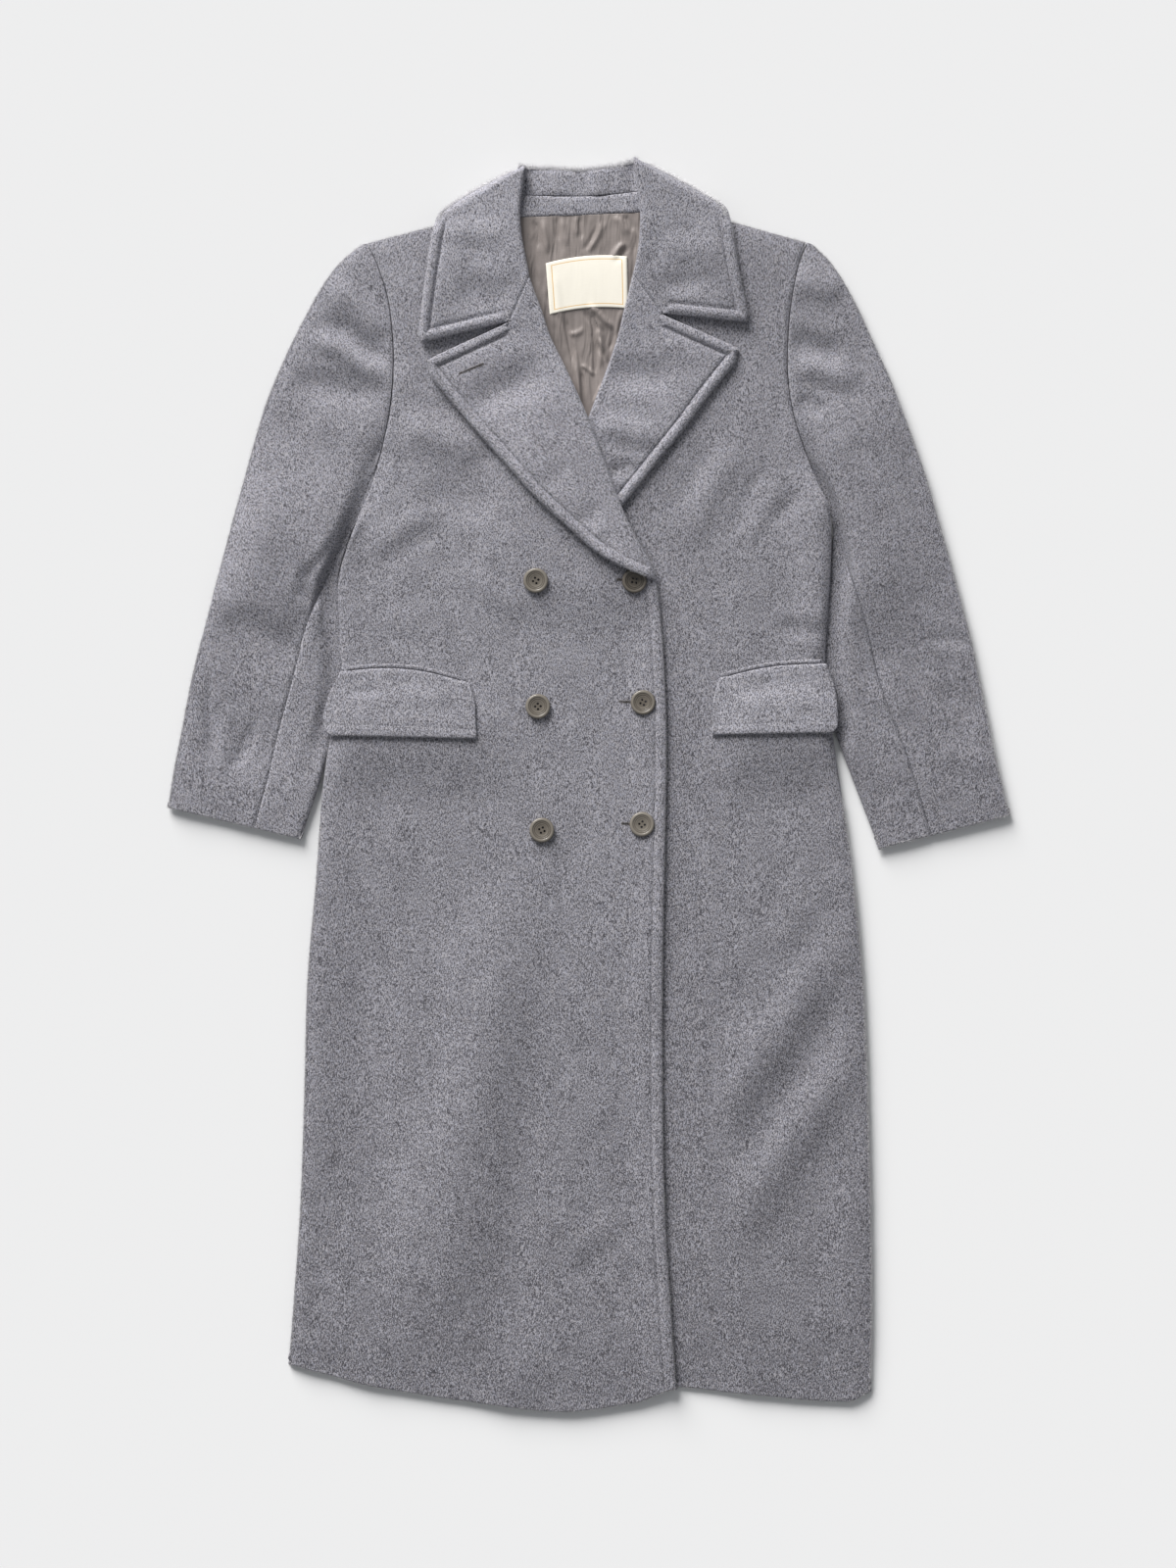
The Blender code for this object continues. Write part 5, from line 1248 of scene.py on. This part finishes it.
Buttonhole = namedtuple("Buttonhole", "from_x from_y to_x to_y")
FRONT_HOLES = table(Buttonhole, (28, 208, 47, 208), (31, 84, 56, 83), (33, -40, 55, -41))
LAPEL_HOLE = Buttonhole(-132, 417, -107, 427.5)
HOLE_POINTS, HOLE_PITCH, HOLE_STITCH, HOLE_STITCH_THICK, HOLE_ASIDE = 20, 0.75, 1.5, 0.5, 0.9
SLIT_PITCH, SLIT_RISE, SLIT_SHAPE = 1.0, 0.1, (2.4, 0.8, 0.4, 1)


def surface_height(points):
    """A reader of a laid piece's height at a spot, from the nearest of its points."""
    flat = points.reshape(-1, 3)

    def height(x, y):
        near = np.argsort((flat[:, 0] - x) ** 2 + (flat[:, 1] - y) ** 2)[:3]
        return flat[near, 2].max()
    return height


slits, hole_stitches = [], []
for hole, height in [(hole, surface_height(right_front_points)) for hole in FRONT_HOLES] + [
        (LAPEL_HOLE, surface_height(turned_edges["lapel_right"]))]:
    ends = [np.array((x, y, height(x, y))) for x, y in ((hole.from_x, hole.from_y), (hole.to_x, hole.to_y))]
    path = np.linspace(*ends, HOLE_POINTS)
    path[:, 2] = [height(x, y) for x, y, _ in path]
    slits += [place @ Matrix.Diagonal(SLIT_SHAPE) for place in stitch_places(path, SLIT_PITCH, -SLIT_RISE)]
    for side in (-1, 1):
        for place in stitch_places(path, HOLE_PITCH, 0.0):
            aside = Matrix.Translation((0, side * HOLE_ASIDE * MM, 0)) @ Matrix.Rotation(pi / 2, 4, "Z")
            hole_stitches.append(place @ aside)
# The slits are raised near-black marks: painted shade where each buttonhole's cut opens.
painted_slit_shade = plain_thread("painted shade of buttonhole slit", SLIT_SHADE_COLOUR)
joined("buttonhole_slit_shade", stitch_shape(1.0, 1.0), slits, painted_slit_shade)
hole_thread = plain_thread("buttonhole thread", HOLE_THREAD)
joined("buttonhole_stitches", stitch_shape(HOLE_STITCH, HOLE_STITCH_THICK), hole_stitches, hole_thread)

# Nap: loose wool fibres standing out along the coat's outline and its turned edges, longest at the brushed
# collar, so that no edge is hard.
Nap = namedtuple("Nap", "per_mm shortest longest")
BODY_NAP, COLLAR_NAP, EDGE_NAP = Nap(11.0, 0.9, 3.6), Nap(42.0, 1.6, 7.4), Nap(6.0, 0.8, 2.2)
FIBRE_WIDTH = 0.16
FIBRE_DEPTH, FIBRE_RISE, FIBRE_UP = 2.2, 0.9, 0.25
FIBRE_SPREAD, FIBRE_FLAT = 0.55, (1, 1, 0.6)
# First free rows of the fronts' sides, the sleeves' inner edges and the closing edge, and the brushed leaf rows
FREE_SIDE, FREE_SLEEVE, FREE_CLOSING, LEAF_ROWS = 183, 146, 90, 60
# Lines of the grids at the crown of a turned edge and inside it, and where a notch starts
CROWN, RIM_INSIDE, HEM_INSIDE, SIDE_INSIDE, NEAR_INSIDE, NOTCH = 5, 16, 20, 12, 14, 40
RIGHT_NECK, LEFT_NECK, CUFF_BACK = 24, 6, 4
chance = np.random.default_rng(11)


def fibre_shape():
    """A tapered fibre one unit long, bent at its middle."""
    bm = bmesh.new()
    foot, middle = 0.5 * FIBRE_WIDTH * MM, 0.35 * FIBRE_WIDTH * MM
    corners = [bm.verts.new(spot) for spot in ((0, -foot, 0), (0, foot, 0), (0.55, middle, 0.08),
                                               (0.55, -middle, 0.08), (1, 0, -0.04))]
    bm.faces.new((corners[0], corners[3], corners[2], corners[1]))
    bm.faces.new((corners[3], corners[4], corners[2]))
    return bm


def fibre_places(edge, inside, nap):
    """Places of fibres along an edge of a piece, pointing away from the line inside it."""
    edge, inside = np.asarray(edge, float), np.asarray(inside, float)
    lengths = np.r_[0, np.cumsum(np.linalg.norm(np.diff(edge, axis=0), axis=1))]
    count = int(lengths[-1] * nap.per_mm)
    marks = chance.uniform(0, lengths[-1], count)
    foot = at_marks(marks, lengths, edge)
    way = (foot - at_marks(marks, lengths, inside)) * (1, 1, 0)
    way /= np.maximum(np.linalg.norm(way, axis=1), 1e-6)[:, None]
    depth = chance.uniform(0, FIBRE_DEPTH, count)[:, None]
    foot = foot - way * depth + (0, 0, FIBRE_RISE) * depth
    way = way + chance.normal(0, FIBRE_SPREAD, (count, 3)) * FIBRE_FLAT + (0, 0, FIBRE_UP)
    way /= np.linalg.norm(way, axis=1)[:, None]
    aside = np.cross(way, chance.normal(0, 1, (count, 3)))
    aside /= np.linalg.norm(aside, axis=1)[:, None]
    size = chance.uniform(nap.shortest, nap.longest, count)[:, None]
    places = np.zeros((count, 4, 4))
    places[:, :3, 0] = way * size * MM
    places[:, :3, 1] = aside
    places[:, :3, 2] = np.cross(way, aside) * size * MM
    places[:, :3, 3] = foot * MM
    places[:, 3, 3] = 1
    return places


# The stray fibres get colours far paler than the cloth's own: a painted highlight for the light they catch along the
# edges, palest at the collar.
loose_fibres_painted_pale = wool_cloth("loose wool fibres", 0, dark=(0.40, 0.398, 0.41), cool=(0.66, 0.66, 0.69),
                        warm=(0.68, 0.66, 0.66))
collar_fibres_painted_pale = wool_cloth("brushed collar fibres", 0, dark=(0.70, 0.698, 0.71), cool=(0.85, 0.85, 0.88),
                          warm=(0.87, 0.85, 0.86))
closing = right_front_points[FREE_CLOSING:-rim_count]
collar_naps = [fibre_places(stand_points[:, 1], stand_points[:, NEAR_INSIDE], COLLAR_NAP)]
edge_naps = [fibre_places(closing[:, CROWN], closing[:, NEAR_INSIDE], EDGE_NAP)]
body_naps, sleeve_naps = [], []
for points, neck in ((right_front_points, RIGHT_NECK), (left_front_points, LEFT_NECK)):
    side = points[FREE_SIDE:-rim_count]
    body_naps += [fibre_places(side[:, -1], side[:, -SIDE_INSIDE], BODY_NAP),
                  fibre_places(points[-CROWN], points[-HEM_INSIDE], BODY_NAP),
                  fibre_places(points[0, neck:], points[SHOULDER_ROWS, neck:], BODY_NAP)]
for hand in ("right", "left"):
    upper, under = sleeve_edges[hand], sleeve_edges[f"{hand} under"]
    turn = FOLD_COLUMNS - 2 + FLAT_COLUMNS + ROUND_COLUMNS // 2
    inner, cuff = under[FREE_SLEEVE:], under[:, turn - CUFF_BACK:]
    sleeve_naps += [fibre_places(upper[:, 0], upper[:, SIDE_INSIDE], BODY_NAP),
                    fibre_places(upper[-CROWN], upper[-HEM_INSIDE], BODY_NAP),
                    fibre_places(inner[:, turn], inner[:, turn - NEAR_INSIDE], EDGE_NAP),
                    fibre_places(cuff[-CROWN], cuff[-HEM_INSIDE], BODY_NAP)]
for node, points in turned_edges.items():
    if node.startswith("collar"):
        collar_naps.append(fibre_places(points[:LEAF_ROWS, -1], points[:LEAF_ROWS, -RIM_INSIDE], COLLAR_NAP))
        free, end_line, end_inside = points[LEAF_ROWS:], -CROWN, -RIM_INSIDE
    else:
        free, end_line, end_inside = points, CROWN, RIM_INSIDE
    edge_naps += [fibre_places(free[:, -1 - CROWN], free[:, -RIM_INSIDE], EDGE_NAP),
                  fibre_places(points[end_line, NOTCH:], points[end_inside, NOTCH:], EDGE_NAP)]
edge_naps += [fibre_places(points[-CROWN], points[-RIM_INSIDE], EDGE_NAP) for points in flap_edges.values()]
for name, naps, wool in (("body_nap", body_naps, loose_fibres_painted_pale), ("sleeve_nap", sleeve_naps, loose_fibres_painted_pale),
                         ("edge_nap", edge_naps, loose_fibres_painted_pale), ("collar_nap", collar_naps, collar_fibres_painted_pale)):
    joined(name, fibre_shape(), np.concatenate(naps), wool)
